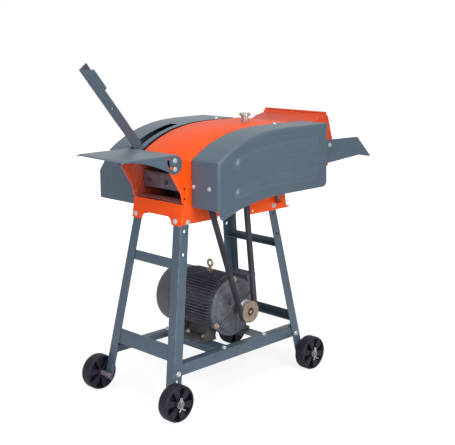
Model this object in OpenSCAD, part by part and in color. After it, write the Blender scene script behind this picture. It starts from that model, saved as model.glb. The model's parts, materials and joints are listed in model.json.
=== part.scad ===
// Electric chaff cutter on a four leg stand with wheels.
// X runs along the feed: chopped straw leaves at -X, straw goes in at +X.
// Y runs across: the belt side is -Y, the gear side with the lever is +Y. Z is up from the floor.

/* [Stand] */
// half spacing of the leg corners along the feed, at the skirt height
leg_x = 188; // [150:1:230]
// how far the leg corners stand inside the side plates at the skirt height
leg_inset = 0.8; // [0.6:0.1:6]
// how far a leg spreads along the feed per mm of height
leg_run_x = 0.174; // [0.05:0.002:0.25]
// how far a leg spreads across per mm of height
leg_run_y = 0.104; // [0.02:0.002:0.13]
// height of the skirt's lower edge, where the leg spacing is given
skirt_z = 500; // [460:1:520]
// width of the angle iron
angle_w = 30; // [24:1:36]
// thickness of the angle iron
angle_t = 3; // [2:0.5:4]
// height of the upper edge of the upper end bars
bar_upper_z = 411; // [360:1:430]
// height of the upper edge of the lower end bars
bar_lower_z = 185; // [150:1:230]
// how far the feed end's bars sit below the discharge end's
bar_feed_drop = 6; // [0:1:12]
// height of the upper bar at the discharge end
bar_upper_h = 27; // [20:1:34]
// height of the upper bar at the feed end
bar_upper_feed_h = 20; // [16:1:34]
// height of the lower bar at the discharge end
bar_lower_h = 42; // [30:1:46]
// height of the lower bar at the feed end
bar_lower_feed_h = 25; // [20:1:46]
// height of the long side bars' upper face
side_bar_z = 133.6; // [115:0.2:140]

/* [Wheels] */
// wheel radius
wheel_r = 50; // [40:1:55]
// wheel width
wheel_w = 34; // [24:1:40]
// wheel axle radius
axle_r = 7; // [5:0.5:8]

/* [Body] */
// half width over the orange side plates
body_half = 101; // [95:0.5:104]
// thickness of the side plates
plate_t = 3; // [2:0.5:4]
// thickness of the sheet metal
sheet_t = 2; // [1.5:0.25:2.5]
// height of the flat part of the top
top_z = 747.5; // [740:0.5:760]
// height of the discharge lip
lip_z = 557; // [545:1:565]

/* [Covers] */
// end of both covers on the discharge side
cover_x0 = -151; // [-156:1:-146]
// end of the belt cover on the feed side
cover_x1 = 290; // [270:1:300]
// end of the gear cover on the feed side
gear_cover_x1 = 226; // [215:1:240]
// outer face of the belt cover
belt_cover_y = 204; // [180:1:220]
// outer face of the gear cover's upper part
gear_cover_y = 243; // [225:1:255]
// outer face of the gear cover's lower bulge
gear_bulge_y = 294; // [275:1:305]

/* [Drive] */
// main shaft radius
shaft_r = 12.5; // [10:0.5:14]
// pitch radius of the motor pulley
pulley_r1 = 27; // [24:0.5:30]
// pitch radius of the main pulley
pulley_r2 = 72.5; // [65:0.5:78]
// radius of the knife tips
knife_r = 97.5; // [90:0.5:98]
// free gap round turning shafts
fit = 0.06; // [0.03:0.01:0.1]
// free gap between pieces that pass each other
gap = 0.4; // [0.3:0.05:0.5]

/* [Feed] */
// half width over the feed hood
hood_half = 121; // [112:0.5:124]
// feed roller tip radius
roller_r = 30; // [26:0.5:31]
// outer end of the feed tray
tray_x1 = 607; // [560:1:640]

/* [Flap and lever] */
// outer end of the discharge flap
flap_x0 = -386; // [-420:1:-340]
// height of the flap's upper face
flap_z = 694; // [692:0.5:698]
// length of the lever from its pivot
lever_len = 358; // [330:1:380]
// lean of the lever from upright
lever_lean = 39; // [36:0.2:40]

/* [Hidden] */
$fn = 48;
fine = 96;

grey = [0.36, 0.42, 0.46];
orange = [0.95, 0.38, 0.08];
dark = [0.22, 0.22, 0.24];
steel = [0.7, 0.7, 0.72];
black = [0.12, 0.12, 0.13];

plate_in = body_half - plate_t;
leg_y = plate_in - leg_inset;
roller_half = plate_in - 5;
main_x = -56;
main_z = 612;
motor_x = 35;
motor_z = 226;
belt_y = -body_half - 30.5;
low_x = 85;
low_z = 580;
roll_rise = 70;
up_z = low_z + roll_rise;
arm_x = 10;
arm_z = 668;
eye_x = 184;
eye_z = 632;
flap_px = -210.6;
flap_pz = 678.7;
lever_px = -87.8;
lever_pz = 637;
foot_z = side_bar_z - angle_t;
foot_bolt_x = 69;
foot_bolt_y = [-22, 46];
belt_t = 5.5;
leg_bolt_z = 112;
lever_y0 = body_half + 37;
lever_w = 28;
lever_d = 6;
leg_top_z = skirt_z + 45;
apron_t = 2.5;
feed_skirt_z = skirt_z - 5;
flare_x0 = cover_x1 + 4;
flare_x1 = flare_x0 + 40;
cover_gap = sheet_t + 0.7;
gear_gap = 13;
gear_bolt_y = body_half + 24;

// leg corner at a height
function leg_cx(z) = leg_x + (skirt_z - z) * leg_run_x;
function leg_cy(z) = leg_y + (skirt_z - z) * leg_run_y;
// upper profile of the body and of both covers
function top_at(x) = top_z - 73.5 * pow(max(0, 160 - x) / 310, 3);
function top_line(x0, x1, n, d) = [for (i = [0:n]) let (x = x0 + (x1 - x0) * i / n) [x, top_at(x) - d]];

// flat outline in the XZ plane, from y0 to y0 + h
module xz(y0, h) {
  translate([0, y0 + h, 0])
    rotate([90, 0, 0])
      linear_extrude(h)
        children();
}
// flat outline in the YZ plane, from x0 to x0 + h
module yz(x0, h) {
  translate([x0, 0, 0])
    rotate([90, 0, 90])
      linear_extrude(h)
        children();
}
// round bar along Y
module rod(x, z, y0, y1, r) {
  translate([x, y1, z])
    rotate([90, 0, 0])
      cylinder(h = y1 - y0, r = r);
}
// ring section turned about an axis along Y, with local height measured towards -Y
module turn_y(x, y, z) {
  translate([x, y, z])
    rotate([90, 0, 0])
      rotate_extrude($fn = fine)
        children();
}
module box(x0, x1, y0, y1, z0, z1) {
  translate([x0, y0, z0])
    cube([x1 - x0, y1 - y0, z1 - z0]);
}
// six sided bolt head with washer, axis along Y, facing sy
module bolt_y(x, z, y, sy, r, h) {
  rod(x, z, sy > 0 ? y : y - 1.5, sy > 0 ? y + 1.5 : y, r * 1.5);
  translate([x, y + sy * 1.5, z])
    rotate([-90 * sy, 0, 0])
      cylinder(h = h, r = r, $fn = 6);
}
// six sided bolt head with washer, axis along X, facing sx
module bolt_x(x, y, z, sx, r, h) {
  translate([x, y, z])
    rotate([0, 90 * sx, 0]) {
      cylinder(h = 1.5, r = r * 1.5);
      cylinder(h = h + 1.5, r = r, $fn = 6);
    }
}

// Stand
module leg_slab(sx, sy, inset, z0, z1) {
  intersection() {
    xz(-220, 440)
      polygon([[sx * (leg_cx(z0) - inset), z0], [sx * (leg_cx(z0) - angle_w), z0],
        [sx * (leg_cx(z1) - angle_w), z1], [sx * (leg_cx(z1) - inset), z1]]);
    yz(-330, 660)
      polygon([[sy * (leg_cy(z0) - inset), z0], [sy * (leg_cy(z0) - angle_w), z0],
        [sy * (leg_cy(z1) - angle_w), z1], [sy * (leg_cy(z1) - inset), z1]]);
  }
}
module leg(sx, sy) {
  z1 = leg_top_z;
  color(grey)
    difference() {
      leg_slab(sx, sy, 0, 34, z1);
      intersection() {
        xz(-220, 440)
          polygon([[sx * (leg_cx(30) - angle_t), 30], [sx * (leg_cx(30) - angle_w - 9), 30],
            [sx * (leg_cx(z1 + 4) - angle_w - 9), z1 + 4], [sx * (leg_cx(z1 + 4) - angle_t), z1 + 4]]);
        yz(-330, 660)
          polygon([[sy * (leg_cy(30) - angle_t), 30], [sy * (leg_cy(30) - angle_w - 9), 30],
            [sy * (leg_cy(z1 + 4) - angle_w - 9), z1 + 4], [sy * (leg_cy(z1 + 4) - angle_t), z1 + 4]]);
      }
      for (z = [skirt_z - 15, skirt_z - 76])
        rod(sx * (leg_cx(z) - 15), z, sy > 0 ? 60 : -160, sy > 0 ? 160 : -60, 4.5);
      box_slot(sx * (leg_cx(84) - 15), sy, 74, 94);
    }
}
// upright slot through a leg's side flange
module box_slot(x, sy, z0, z1) {
  rod(x, z0, sy > 0 ? 90 : -190, sy > 0 ? 190 : -90, 3.5);
  rod(x, z1, sy > 0 ? 90 : -190, sy > 0 ? 190 : -90, 3.5);
  box(x - 3.5, x + 3.5, sy > 0 ? 90 : -190, sy > 0 ? 190 : -90, z0, z1);
}
module leg_discharge_near() leg(-1, -1);
module leg_discharge_far() leg(-1, 1);
module leg_feed_near() leg(1, -1);
module leg_feed_far() leg(1, 1);

// bar across an end, lying on the inside of the end flanges, upper edge at z
module end_bar(sx, z, h) {
  t = angle_t;
  half0 = leg_cy(z - h) - angle_t;
  half1 = leg_cy(z) - angle_t;
  color(grey)
    intersection() {
      union() {
        xz(-220, 440)
          polygon([[sx * (leg_cx(z) - t), z], [sx * (leg_cx(z) - 2 * t), z],
            [sx * (leg_cx(z - h) - 2 * t), z - h], [sx * (leg_cx(z - h) - t), z - h]]);
        xz(-220, 440)
          polygon([[sx * (leg_cx(z - h) - t), z - h], [sx * (leg_cx(z - h) - angle_w + 2), z - h],
            [sx * (leg_cx(z - h) - angle_w + 2), z - h + t], [sx * (leg_cx(z - h + t) - t), z - h + t]]);
      }
      yz(-330, 660)
        polygon([[-half0, z - h], [half0, z - h], [half1, z], [-half1, z]]);
    }
}
module upper_bar_discharge() end_bar(-1, bar_upper_z, bar_upper_h);
module upper_bar_feed() end_bar(1, bar_upper_z - bar_feed_drop, bar_upper_feed_h);
module lower_bar_discharge() end_bar(-1, bar_lower_z, bar_lower_h);
module lower_bar_feed() end_bar(1, bar_lower_z - bar_feed_drop, bar_lower_feed_h);

// long bar along a side, lying on the inside of the side flanges, flat flange on top
module side_bar(sy) {
  t = angle_t;
  z = side_bar_z;
  zb = z - angle_w;
  half0 = leg_cx(zb) - angle_t;
  half1 = leg_cx(z) - angle_t;
  color(grey)
    intersection() {
      union() {
        yz(-330, 660)
          polygon([[sy * (leg_cy(z) - t), z], [sy * (leg_cy(z) - 2 * t), z],
            [sy * (leg_cy(zb) - 2 * t), zb], [sy * (leg_cy(zb) - t), zb]]);
        yz(-330, 660)
          polygon([[sy * (leg_cy(z) - t), z], [sy * (leg_cy(z) - angle_w), z],
            [sy * (leg_cy(z) - angle_w), z - t], [sy * (leg_cy(z - t) - t), z - t]]);
      }
      xz(-220, 440)
        polygon([[-half0, zb], [half0, zb], [half1, z], [-half1, z]]);
    }
}
module side_bar_near() side_bar(-1);
module side_bar_far() side_bar(1);

// slotted angle rail that carries the motor's feet, resting on both side bars
module motor_rail(x, sx) {
  ry = leg_cy(side_bar_z) - 2 * angle_t - 1;
  inner = leg_cy(side_bar_z) - angle_w - 3;
  z = side_bar_z - 2 * angle_t;
  color(grey)
    difference() {
      union() {
        box(x - 22, x + 22, -ry, ry, z, z + angle_t);
        box(sx < 0 ? x - 22 : x + 22 - angle_t, sx < 0 ? x - 22 + angle_t : x + 22,
          -inner, inner, z - 17, z + 0.5);
      }
      for (y = foot_bolt_y)
        box(x - 10, x + 10, y - 4.5, y + 4.5, z - 1, z + 6);
    }
}
module motor_rail_discharge() motor_rail(motor_x - 77, -1);
module motor_rail_feed() motor_rail(motor_x + 77, 1);

// Wheels
function axle_x() = leg_cx(wheel_r) + axle_r * sqrt(1 + leg_run_x * leg_run_x);
wheel_y0 = leg_cy(34) + 2.4;
module axle(sx, sy) {
  a = wheel_y0 - 32;
  b = wheel_y0 + wheel_w + 7;
  rod(sx * axle_x(), wheel_r, sy > 0 ? a : -b, sy > 0 ? b : -a, axle_r);
}
module wheel_axles() {
  color(steel)
    for (sx = [-1, 1])
      for (sy = [-1, 1])
        axle(sx, sy);
}
// plain washer with a split pin outside each wheel
module axle_washers() {
  y0 = wheel_y0 + wheel_w + gap;
  color(steel)
    for (sx = [-1, 1])
      for (sy = [-1, 1]) {
        difference() {
          rod(sx * axle_x(), wheel_r, sy > 0 ? y0 : -y0 - 2, sy > 0 ? y0 + 2 : -y0, 12);
          rod(sx * axle_x(), wheel_r, sy > 0 ? y0 - 1 : -y0 - 3, sy > 0 ? y0 + 3 : -y0 + 1, axle_r);
        }
        difference() {
          translate([sx * axle_x(), sy * (y0 + 3.6), wheel_r - 13])
            cylinder(h = 26, r = 1.5);
          rod(sx * axle_x(), wheel_r, sy > 0 ? y0 : -y0 - 8, sy > 0 ? y0 + 8 : -y0, axle_r);
        }
      }
}
// spoked wheel: tread, web with six spokes, hub
module wheel(sx, sy) {
  ym = sy * (wheel_y0 + wheel_w / 2);
  h = wheel_w / 2;
  color(black) {
    turn_y(sx * axle_x(), ym, wheel_r)
      polygon([[wheel_r - 12, -h], [wheel_r - 3, -h], [wheel_r, -h + 4], [wheel_r, h - 4],
        [wheel_r - 3, h], [wheel_r - 12, h]]);
    turn_y(sx * axle_x(), ym, wheel_r)
      polygon([[axle_r + fit, -h], [14, -h], [14, h], [axle_r + fit, h]]);
    turn_y(sx * axle_x(), ym, wheel_r)
      polygon([[13.5, -3], [wheel_r - 11.5, -3], [wheel_r - 11.5, 3], [13.5, 3]]);
    for (i = [0:5])
      translate([sx * axle_x(), ym, wheel_r])
        rotate([0, i * 60 + 15, 0])
          box(13, wheel_r - 11, -h + 5, h - 5, -4.5, 4.5);
  }
}
module wheel_discharge_near() wheel(-1, -1);
module wheel_discharge_far() wheel(-1, 1);
module wheel_feed_near() wheel(1, -1);
module wheel_feed_far() wheel(1, 1);

// Body
apron_in = leg_x;
function ear(n, a0, a1, r) = [for (i = [0:n]) let (a = a0 + (a1 - a0) * i / n)
  [flap_px + r * cos(a), flap_pz + r * sin(a)]];
module plate_outline() {
  polygon(concat(
    [[-(apron_in - 3 * leg_run_x), skirt_z + 3], [-54, skirt_z + 3], [-46, skirt_z + 36],
      [-36, leg_top_z], [62, leg_top_z], [71, skirt_z + 36], [78, feed_skirt_z],
      [233, feed_skirt_z], [225, skirt_z + 36],
      [225, top_at(225) - sheet_t - 0.1]],
    top_line(214, -158, 31, sheet_t),
    [[-159, 668], [-167, 678], [-190, 681]],
    ear(8, 75, 190, 12),
    [[-224, 668], [-226.5, 646], [-189, 588], [-184, lip_z + 4],
      [-(apron_in - (lip_z + 4 - skirt_z) * leg_run_x), lip_z + 4]]));
}
module side_plate(sy) {
  color(orange) {
    difference() {
      xz(sy > 0 ? plate_in : -body_half, plate_t)
        plate_outline();
      rod(main_x, main_z, -150, 150, shaft_r + 4);
      rod(low_x, low_z, -150, 150, 14);
      box(low_x - 18, low_x + 18, -150, 150, up_z - 16, up_z + 34);
      rod(flap_px, flap_pz, -150, 150, 3);
      rod(flap_px, flap_pz - 22.4, -150, 150, 2.5);
      for (z = [573, 600])
        rod(-176.2, z, -150, 150, 3.5);
      rod(88, feed_skirt_z + 9, -150, 150, 3.5);
    }
    box(192, 250, sy > 0 ? plate_in - 14 : -plate_in - 1, sy > 0 ? plate_in + 1 : -plate_in + 14,
      feed_skirt_z + 0.5, feed_skirt_z + 3);
  }
}
module side_plate_near() side_plate(-1);
module side_plate_far() side_plate(1);

// sloping end plate with an arch, lying on the outside of the legs' end flanges
module apron(sx) {
  function ax(z) = leg_x - (z - skirt_z) * leg_run_x;
  zt = sx < 0 ? lip_z : leg_top_z;
  hw = sx < 0 ? body_half : plate_in - gap;
  color(orange)
    intersection() {
      xz(-hw, 2 * hw)
        polygon([[sx * ax(skirt_z), skirt_z], [sx * (ax(skirt_z) + apron_t), skirt_z],
          [sx * (ax(zt) + apron_t), zt], [sx * ax(zt), zt]]);
      yz(-330, 660)
        polygon([[-hw, skirt_z], [-64, skirt_z], [-54, skirt_z + 16], [-46, skirt_z + 20],
          [46, skirt_z + 20], [54, skirt_z + 16], [64, skirt_z], [hw, skirt_z], [hw, zt], [-hw, zt]]);
    }
}
module apron_discharge() apron(-1);
module apron_feed() apron(1);

// curved top sheet
module top_cover() {
  color(orange)
    xz(-body_half, 2 * body_half)
      polygon(concat(top_line(-158, 238, 33, 0), top_line(238, -158, 33, sheet_t)));
}
// sheet trough under the drum, from the lip to the shear bar
module drum_concave() {
  w = plate_in - 0.2;
  r = knife_r + 4;
  lip_drop = main_z - lip_z - 6;
  color(orange) {
    difference() {
      rod(main_x, main_z, -w, w, r + sheet_t);
      rod(main_x, main_z, -w - 1, w + 1, r);
      box(-300, 300, -w - 1, w + 1, main_z - lip_drop, 800);
    }
    box(-178, main_x - sqrt((r + 1) * (r + 1) - lip_drop * lip_drop), -w, w,
      main_z - lip_drop - sheet_t, main_z - lip_drop);
  }
}
// fixed knife that the drum shears against
module shear_bar() {
  w = plate_in - 0.1;
  x0 = main_x + knife_r + 2.5;
  color(steel)
    xz(-w, 2 * w)
      polygon([[x0, main_z - 2], [x0 + 14, main_z - 2], [x0 + 14, main_z - 14], [x0 + 4, main_z - 14]]);
}
// floor of the feed throat between the side plates and on into the hood
module throat_floor() {
  w = plate_in - 0.2;
  color(orange)
    xz(-w, 2 * w)
      polygon([[low_x + roller_r + 4, main_z - 4], [238, main_z - 4], [238, main_z - 4 - sheet_t],
        [low_x + roller_r + 4, main_z - 4 - sheet_t]]);
}
// flared feed hood: two side walls, sloping roof with a rolled edge, floor
module hood_plan(d) {
  a = body_half + 0.2;
  b = hood_half - sheet_t;
  for (s = [-1, 1])
    polygon([[206, s * (a + d)], [flare_x0, s * (a + d)], [flare_x1, s * (b + d)], [430, s * (b + d)],
      [430, s * (b + d - sheet_t)], [flare_x1 - 1, s * (b + d - sheet_t)],
      [flare_x0 - 1, s * a], [206, s * a]]);
}
module feed_hood() {
  hw = hood_half;
  wi = hood_half - sheet_t;
  color(orange) {
    intersection() {
      translate([0, 0, 560])
        linear_extrude(240)
          hood_plan(sheet_t);
      xz(-hw - 5, 2 * hw + 10)
        polygon([[206, 604], [398, 604], [417, 687], [393, 757], [376, 764], [368, 752],
          [285, 738], [206, 738]]);
    }
    intersection() {
      xz(-hw, 2 * hw)
        polygon([[239, 733], [286, 736], [369, 752], [379, 760], [379, 763], [367, 754],
          [285, 738], [239, 735]]);
      translate([0, 0, 560])
        linear_extrude(240)
          polygon([[238, -body_half], [flare_x0, -body_half], [flare_x1, -wi], [430, -wi],
            [430, wi], [flare_x1, wi], [flare_x0, body_half], [238, body_half]]);
    }
    rod(382, 764, -hw, hw, 4.5);
    intersection() {
      box(239, 398, -hw, hw, 606, 608);
      translate([0, 0, 560])
        linear_extrude(240)
          polygon([[238, -body_half], [flare_x0, -body_half], [flare_x1, -wi], [430, -wi],
            [430, wi], [flare_x1, wi], [flare_x0, body_half], [238, body_half]]);
    }
  }
}
// grey feed tray bolted outside the hood walls
module feed_tray() {
  yi = hood_half + 0.1;
  yo = yi + sheet_t;
  color(grey) {
    for (s = [-1, 1])
      xz(s > 0 ? yi : -yo, sheet_t)
        polygon([[386, 614], [400, 613.2], [550, 623.5], [tray_x1, 616], [tray_x1, 620],
          [541, 681.5], [386, 684]]);
    xz(-yo + 0.5, 2 * yo - 1)
      polygon([[400, 612.6], [550, 622.9], [tray_x1, 615.4], [tray_x1, 617.4], [550, 624.9], [400, 614.6]]);
    rod(tray_x1, 616, -yo - 0.2, yo + 0.2, 2.5);
  }
}

// Covers
module belt_face() {
  polygon(concat(
    [[cover_x0, 548], [-146, 533], [-141, 525], [-136, 523.4], [-128, 525], [-91.5, 537.5],
      [-62, 546], [-34, 552.5], [0, 557.5], [40, 561.5], [103, 564], [171, 564],
      [cover_x1 - 16, 564], [cover_x1 - 8, 566], [cover_x1 - 2, 572], [cover_x1, 580],
      [cover_x1, top_at(cover_x1)]],
    top_line(cover_x1, cover_x0, 28, 0)));
}
module belt_cover() {
  y0 = body_half + cover_gap;
  t = sheet_t;
  color(grey) {
    xz(-belt_cover_y, t)
      belt_face();
    difference() {
      xz(-belt_cover_y, belt_cover_y - y0)
        polygon(concat([[cover_x0, 548], [cover_x1, 548], [cover_x1, top_z]],
          top_line(cover_x1 - 0.5, cover_x0, 28, 0)));
      xz(-belt_cover_y + t, belt_cover_y)
        polygon(concat([[cover_x0 + t, 500], [cover_x1 - t, 500], [cover_x1 - t, top_z - t]],
          top_line(cover_x1 - t - 0.5, cover_x0 + t, 28, t)));
      box(cover_x0 + t + 1, cover_x1 + 1, -belt_cover_y - 1, 0, 500, 580);
    }
  }
}
module gear_shell(d, zb) {
  xz(body_half + gear_gap - (d > 0 ? 5 : 0), gear_cover_y - d - body_half - gear_gap + (d > 0 ? 5 : 0))
    polygon(concat([[cover_x0 + d, zb], [gear_cover_x1 - d, zb], [gear_cover_x1 - d, top_z - d]],
      top_line(gear_cover_x1 - d - 0.5, cover_x0 + d, 28, d)));
  yz(cover_x0 + d, 200 - cover_x0 - 2 * d)
    polygon([[gear_cover_y - 8, zb], [gear_bulge_y - d, zb], [gear_bulge_y - d, 607 - d * 0.4],
      [gear_cover_y - d, 672 - d * 0.4], [gear_cover_y - 8, 672 - d * 0.4]]);
}
module gear_cover() {
  color(grey)
    difference() {
      gear_shell(0, 526);
      gear_shell(sheet_t, 500);
      box(cover_x0 - 2, 17, lever_y0 - 4, lever_y0 + 28, 640, 780);
    }
}
// tabs welded to the side plates: they hold both covers and the lower ends of the springs
module brackets() {
  t = 3;
  x0 = cover_x0 + sheet_t;
  color(orange) {
    box(x0, x0 + t, 14 - belt_cover_y, -body_half, 590, 618);
    box(x0, x0 + 20, -body_half - t, -body_half, 590, 618);
    box(x0, x0 + t, body_half, gear_cover_y - 43, 590, 618);
    box(x0, x0 + 20, body_half, body_half + t, 590, 618);
    for (s = [-1, 1]) {
      box(152, 176, s > 0 ? body_half : -body_half - 25, s > 0 ? gear_bolt_y + 12 : -body_half,
        top_z - sheet_t - t, top_z - sheet_t);
      box(152, 176, s > 0 ? body_half : -body_half - t, s > 0 ? body_half + t : -body_half,
        715, top_z - sheet_t - t);
      box(eye_x - 7, eye_x + 11, s > 0 ? body_half : -spring_y - 10, s > 0 ? spring_y + 10 : -body_half,
        spring_z0 - t, spring_z0);
    }
  }
}

// Fixed drive pieces
// flanged housings for the main shaft and the lower roller
module housing(x, z, r, rs, sy, w) {
  difference() {
    union() {
      rod(x, z, sy > 0 ? body_half : -body_half - 5, sy > 0 ? body_half + 5 : -body_half, r);
      rod(x, z, sy > 0 ? body_half : -body_half - w, sy > 0 ? body_half + w : -body_half, r * 0.66);
    }
    rod(x, z, -160, 160, rs + fit);
  }
}
module bearing_housings() {
  color(dark)
    for (sy = [-1, 1]) {
      housing(main_x, main_z, 32, shaft_r, sy, 12);
      housing(low_x, low_z, 28, 10, sy, 12);
    }
}
module frame_bolts() {
  color(steel) {
    for (sy = [-1, 1]) {
      for (x = [-165, 174])
        bolt_y(x, skirt_z + 9, sy * body_half, sy, 5.5, 5);
      for (sx = [-1, 1])
        translate([sx * (leg_cx(leg_bolt_z) - 16), sy * leg_cy(leg_bolt_z), leg_bolt_z])
          rotate([sy * atan(leg_run_y), 0, 0])
            bolt_y(0, 0, 0, sy, 6, 5);
      for (x = [motor_x - 84, motor_x + 80])
        translate([x, sy * (leg_cy(side_bar_z) - 16), side_bar_z]) {
          cylinder(h = 1.5, r = 8);
          cylinder(h = 7, r = 5.5, $fn = 6);
        }
    }
    for (s = [-1, 1])
      for (y = foot_bolt_y)
        translate([motor_x + s * foot_bolt_x, y, foot_z + 9]) {
          cylinder(h = 1.5, r = 9);
          cylinder(h = 8, r = 6.5, $fn = 6);
        }
    for (y = [24 - body_half, body_half - 15])
      translate([-(leg_x - 11.5 * leg_run_x + apron_t), y, skirt_z + 11.5])
        rotate([0, atan(leg_run_x), 0])
          bolt_x(0, 0, 0, -1, 5.5, 5);
  }
}
module cover_bolts() {
  color(steel) {
    bolt_x(cover_x0, -body_half - 9, 604, -1, 4.5, 4);
    bolt_x(cover_x0, 35 - belt_cover_y, 604, -1, 4.5, 4);
    for (y = [-body_half - 11, gear_bolt_y])
      translate([164, y, top_z])
        cylinder(h = 4, r = 5);
    for (s = [-1, 1])
      bolt_y(402, 667, s * (hood_half + 0.1 + sheet_t), s, 4.5, 4);
  }
}
module top_bolt() {
  color(steel) {
    translate([150, -8, top_at(150)])
      cylinder(h = 17, r = 11);
    translate([150, -8, top_at(150) + 17])
      cylinder(h = 10, r = 15, $fn = 6);
  }
}
// pivot and lock bolts of the flap, both sides
module flap_bolts() {
  yo = body_half + 0.3 + sheet_t + 0.3;
  color(steel)
    for (s = [-1, 1]) {
      rod(flap_px, flap_pz, s > 0 ? body_half : -yo, s > 0 ? yo : -body_half, 4);
      rod(flap_px, flap_pz - 22.4, s > 0 ? body_half : -yo, s > 0 ? yo : -body_half, 3);
      bolt_y(flap_px, flap_pz, s * yo, s, 6, 4.5);
      bolt_y(flap_px, flap_pz - 22.4, s * yo, s, 5.5, 4.5);
    }
}
module arm_pins() {
  color(steel)
    for (s = [-1, 1]) {
      rod(arm_x, arm_z, s > 0 ? body_half : -body_half - 9, s > 0 ? body_half + 9 : -body_half, 7);
      rod(arm_x, arm_z, s > 0 ? body_half : -body_half - 1.5, s > 0 ? body_half + 1.5 : -body_half, 12);
      rod(arm_x, arm_z, s > 0 ? body_half + 7.4 : -body_half - 9.4,
        s > 0 ? body_half + 9.4 : -body_half - 7.4, 12);
    }
}
module idler_pin() {
  color(steel) {
    rod(idler_x, idler_z, body_half, body_half + 5, 18);
    rod(idler_x, idler_z, body_half, plane_b + 14.5, 10);
    rod(idler_x, idler_z, plane_b + 14.5, plane_b + 17, 14);
  }
}
module lever_pin() {
  color(steel) {
    rod(lever_px, lever_pz, body_half, lever_y0 - gap, 8);
    rod(lever_px, lever_pz, lever_y0 - 2, lever_y0 + lever_d + gap, 6);
    rod(lever_px, lever_pz, lever_y0 + lever_d + gap, lever_y0 + lever_d + 3, 10);
  }
}

// Springs
spring_y = body_half + 10;
spring_z0 = skirt_z + 20.5;
spring_z1 = eye_z - 3;
wire_r = 1.2;
coil_r = 7.8;
coil_n = 22;
spring_lead = 2.4;
spring_pts = concat([[coil_r, 0, 0]],
  [for (i = [0:coil_n * 8]) let (a = i * 45)
    [coil_r * cos(a), coil_r * sin(a),
      spring_lead + (spring_z1 - spring_z0 - 2 * spring_lead) * i / (coil_n * 8)]],
  [[coil_r, 0, spring_z1 - spring_z0]]);
spring_gap = min([for (i = [4:coil_n * 8 - 20]) for (j = [i + 5:i + 12])
  norm(spring_pts[i] - spring_pts[j]) - 2 * wire_r]);
echo(spring_least_gap = spring_gap);
function ring_dir(p, i) = i == 0 || i == len(p) - 1 ? [0, 0, 1]
  : let (d = p[i + 1] - p[i - 1]) d / norm(d);
// sweep a six sided tube through points
module tube(p, r) {
  n = len(p);
  pts = [for (i = [0:n - 1])
    let (d = ring_dir(p, i), u0 = [p[i][0], p[i][1], 0], u1 = u0 - d * (u0 * d),
      u = u1 / norm(u1), v = cross(d, u))
      for (k = [0:5]) p[i] + r * (u * cos(60 * k) + v * sin(60 * k))];
  faces = concat(
    [for (k = [1:4]) [0, k, k + 1]],
    [for (i = [0:n - 2]) for (k = [0:5]) let (a = i * 6 + k, b = i * 6 + (k + 1) % 6)
      for (f = [[a, a + 6, b], [b, a + 6, b + 6]]) f],
    [for (k = [1:4]) [(n - 1) * 6, (n - 1) * 6 + k + 1, (n - 1) * 6 + k]]);
  polyhedron(points = pts, faces = faces, convexity = 10);
}
module float_springs() {
  color(steel)
    for (s = [-1, 1])
      translate([eye_x, s * spring_y, spring_z0])
        tube(spring_pts, wire_r);
}

// Motor
module motor_frame() {
  color(dark) {
    difference() {
      union() {
        rod(motor_x, motor_z, -62, 104, 82);
        for (i = [0:35])
          if (i > 6 && (i < 22 || i > 32))
            translate([motor_x, 0, motor_z])
              rotate([0, -i * 10, 0])
                box(78, 92, -56, 98, -1.6, 1.6);
        box(motor_x + 60, motor_x + 84, -44, 38, motor_z + 8, motor_z + 62);
        translate([motor_x, 22, motor_z + 75])
          cylinder(h = 17.2, r = 11);
        for (s = [-1, 1]) {
          box(motor_x + s * 70 - 28, motor_x + s * 70 + 28, -46, 68, foot_z, foot_z + 9);
          for (y = [-45, 59])
            xz(y, 8)
              polygon([[motor_x + s * 45, foot_z + 4], [motor_x + s * 92, foot_z + 4],
                [motor_x + s * 66, motor_z - 46], [motor_x + s * 38, motor_z - 60]]);
          xz(-38, 98)
            polygon([[motor_x + s * 46, foot_z + 4], [motor_x + s * 56, foot_z + 4],
              [motor_x + s * 51, motor_z - 59], [motor_x + s * 39, motor_z - 61]]);
        }
      }
      rod(motor_x, motor_z, -66, 108, 74);
      for (s = [-1, 1])
        for (y = foot_bolt_y)
          translate([motor_x + s * foot_bolt_x, y, foot_z - 2])
            cylinder(h = 14, r = 5);
    }
  }
}
module motor_end_bell() {
  color(dark) {
    difference() {
      union() {
        turn_y(motor_x, -62, motor_z)
          polygon([[0, 0], [85, 0], [85, 10], [78, 12], [74, 20], [62, 25], [30, 28], [24, 34], [0, 34]]);
        for (a = [90:120:330])
          translate([motor_x + 82 * cos(a), 0, motor_z + 82 * sin(a)])
            rod(0, 0, -76, -62, 11);
      }
      rod(motor_x, motor_z, -110, 0, 12 + 0.4);
      rod(motor_x, motor_z, -69, -50, 68);
    }
    turn_y(motor_x, 104, motor_z)
      polygon([[12.4, 0], [88, 0], [88, -6], [12.4, -6]]);
  }
}
module motor_fan_cover() {
  color(dark)
    difference() {
      turn_y(motor_x, 110, motor_z)
        polygon([[0, 0], [88, 0], [88, -54], [78, -63], [0, -63]]);
      turn_y(motor_x, 110, motor_z)
        polygon([[0, 1], [86, 1], [86, -53.4], [77, -61], [0, -61]]);
      for (i = [0:11])
        for (r = [28, 46, 64])
          translate([motor_x + r * cos(i * 30 + r), 0, motor_z + r * sin(i * 30 + r)])
            rod(0, 0, 165, 180, 5);
    }
}
module terminal_box() {
  color(dark) {
    box(motor_x + 84, motor_x + 112, -50, 44, motor_z + 4, motor_z + 74);
    box(motor_x + 112, motor_x + 115, -53, 47, motor_z + 1, motor_z + 77);
    translate([motor_x + 98, -3, motor_z - 8])
      cylinder(h = 12, r = 9);
  }
}
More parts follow.
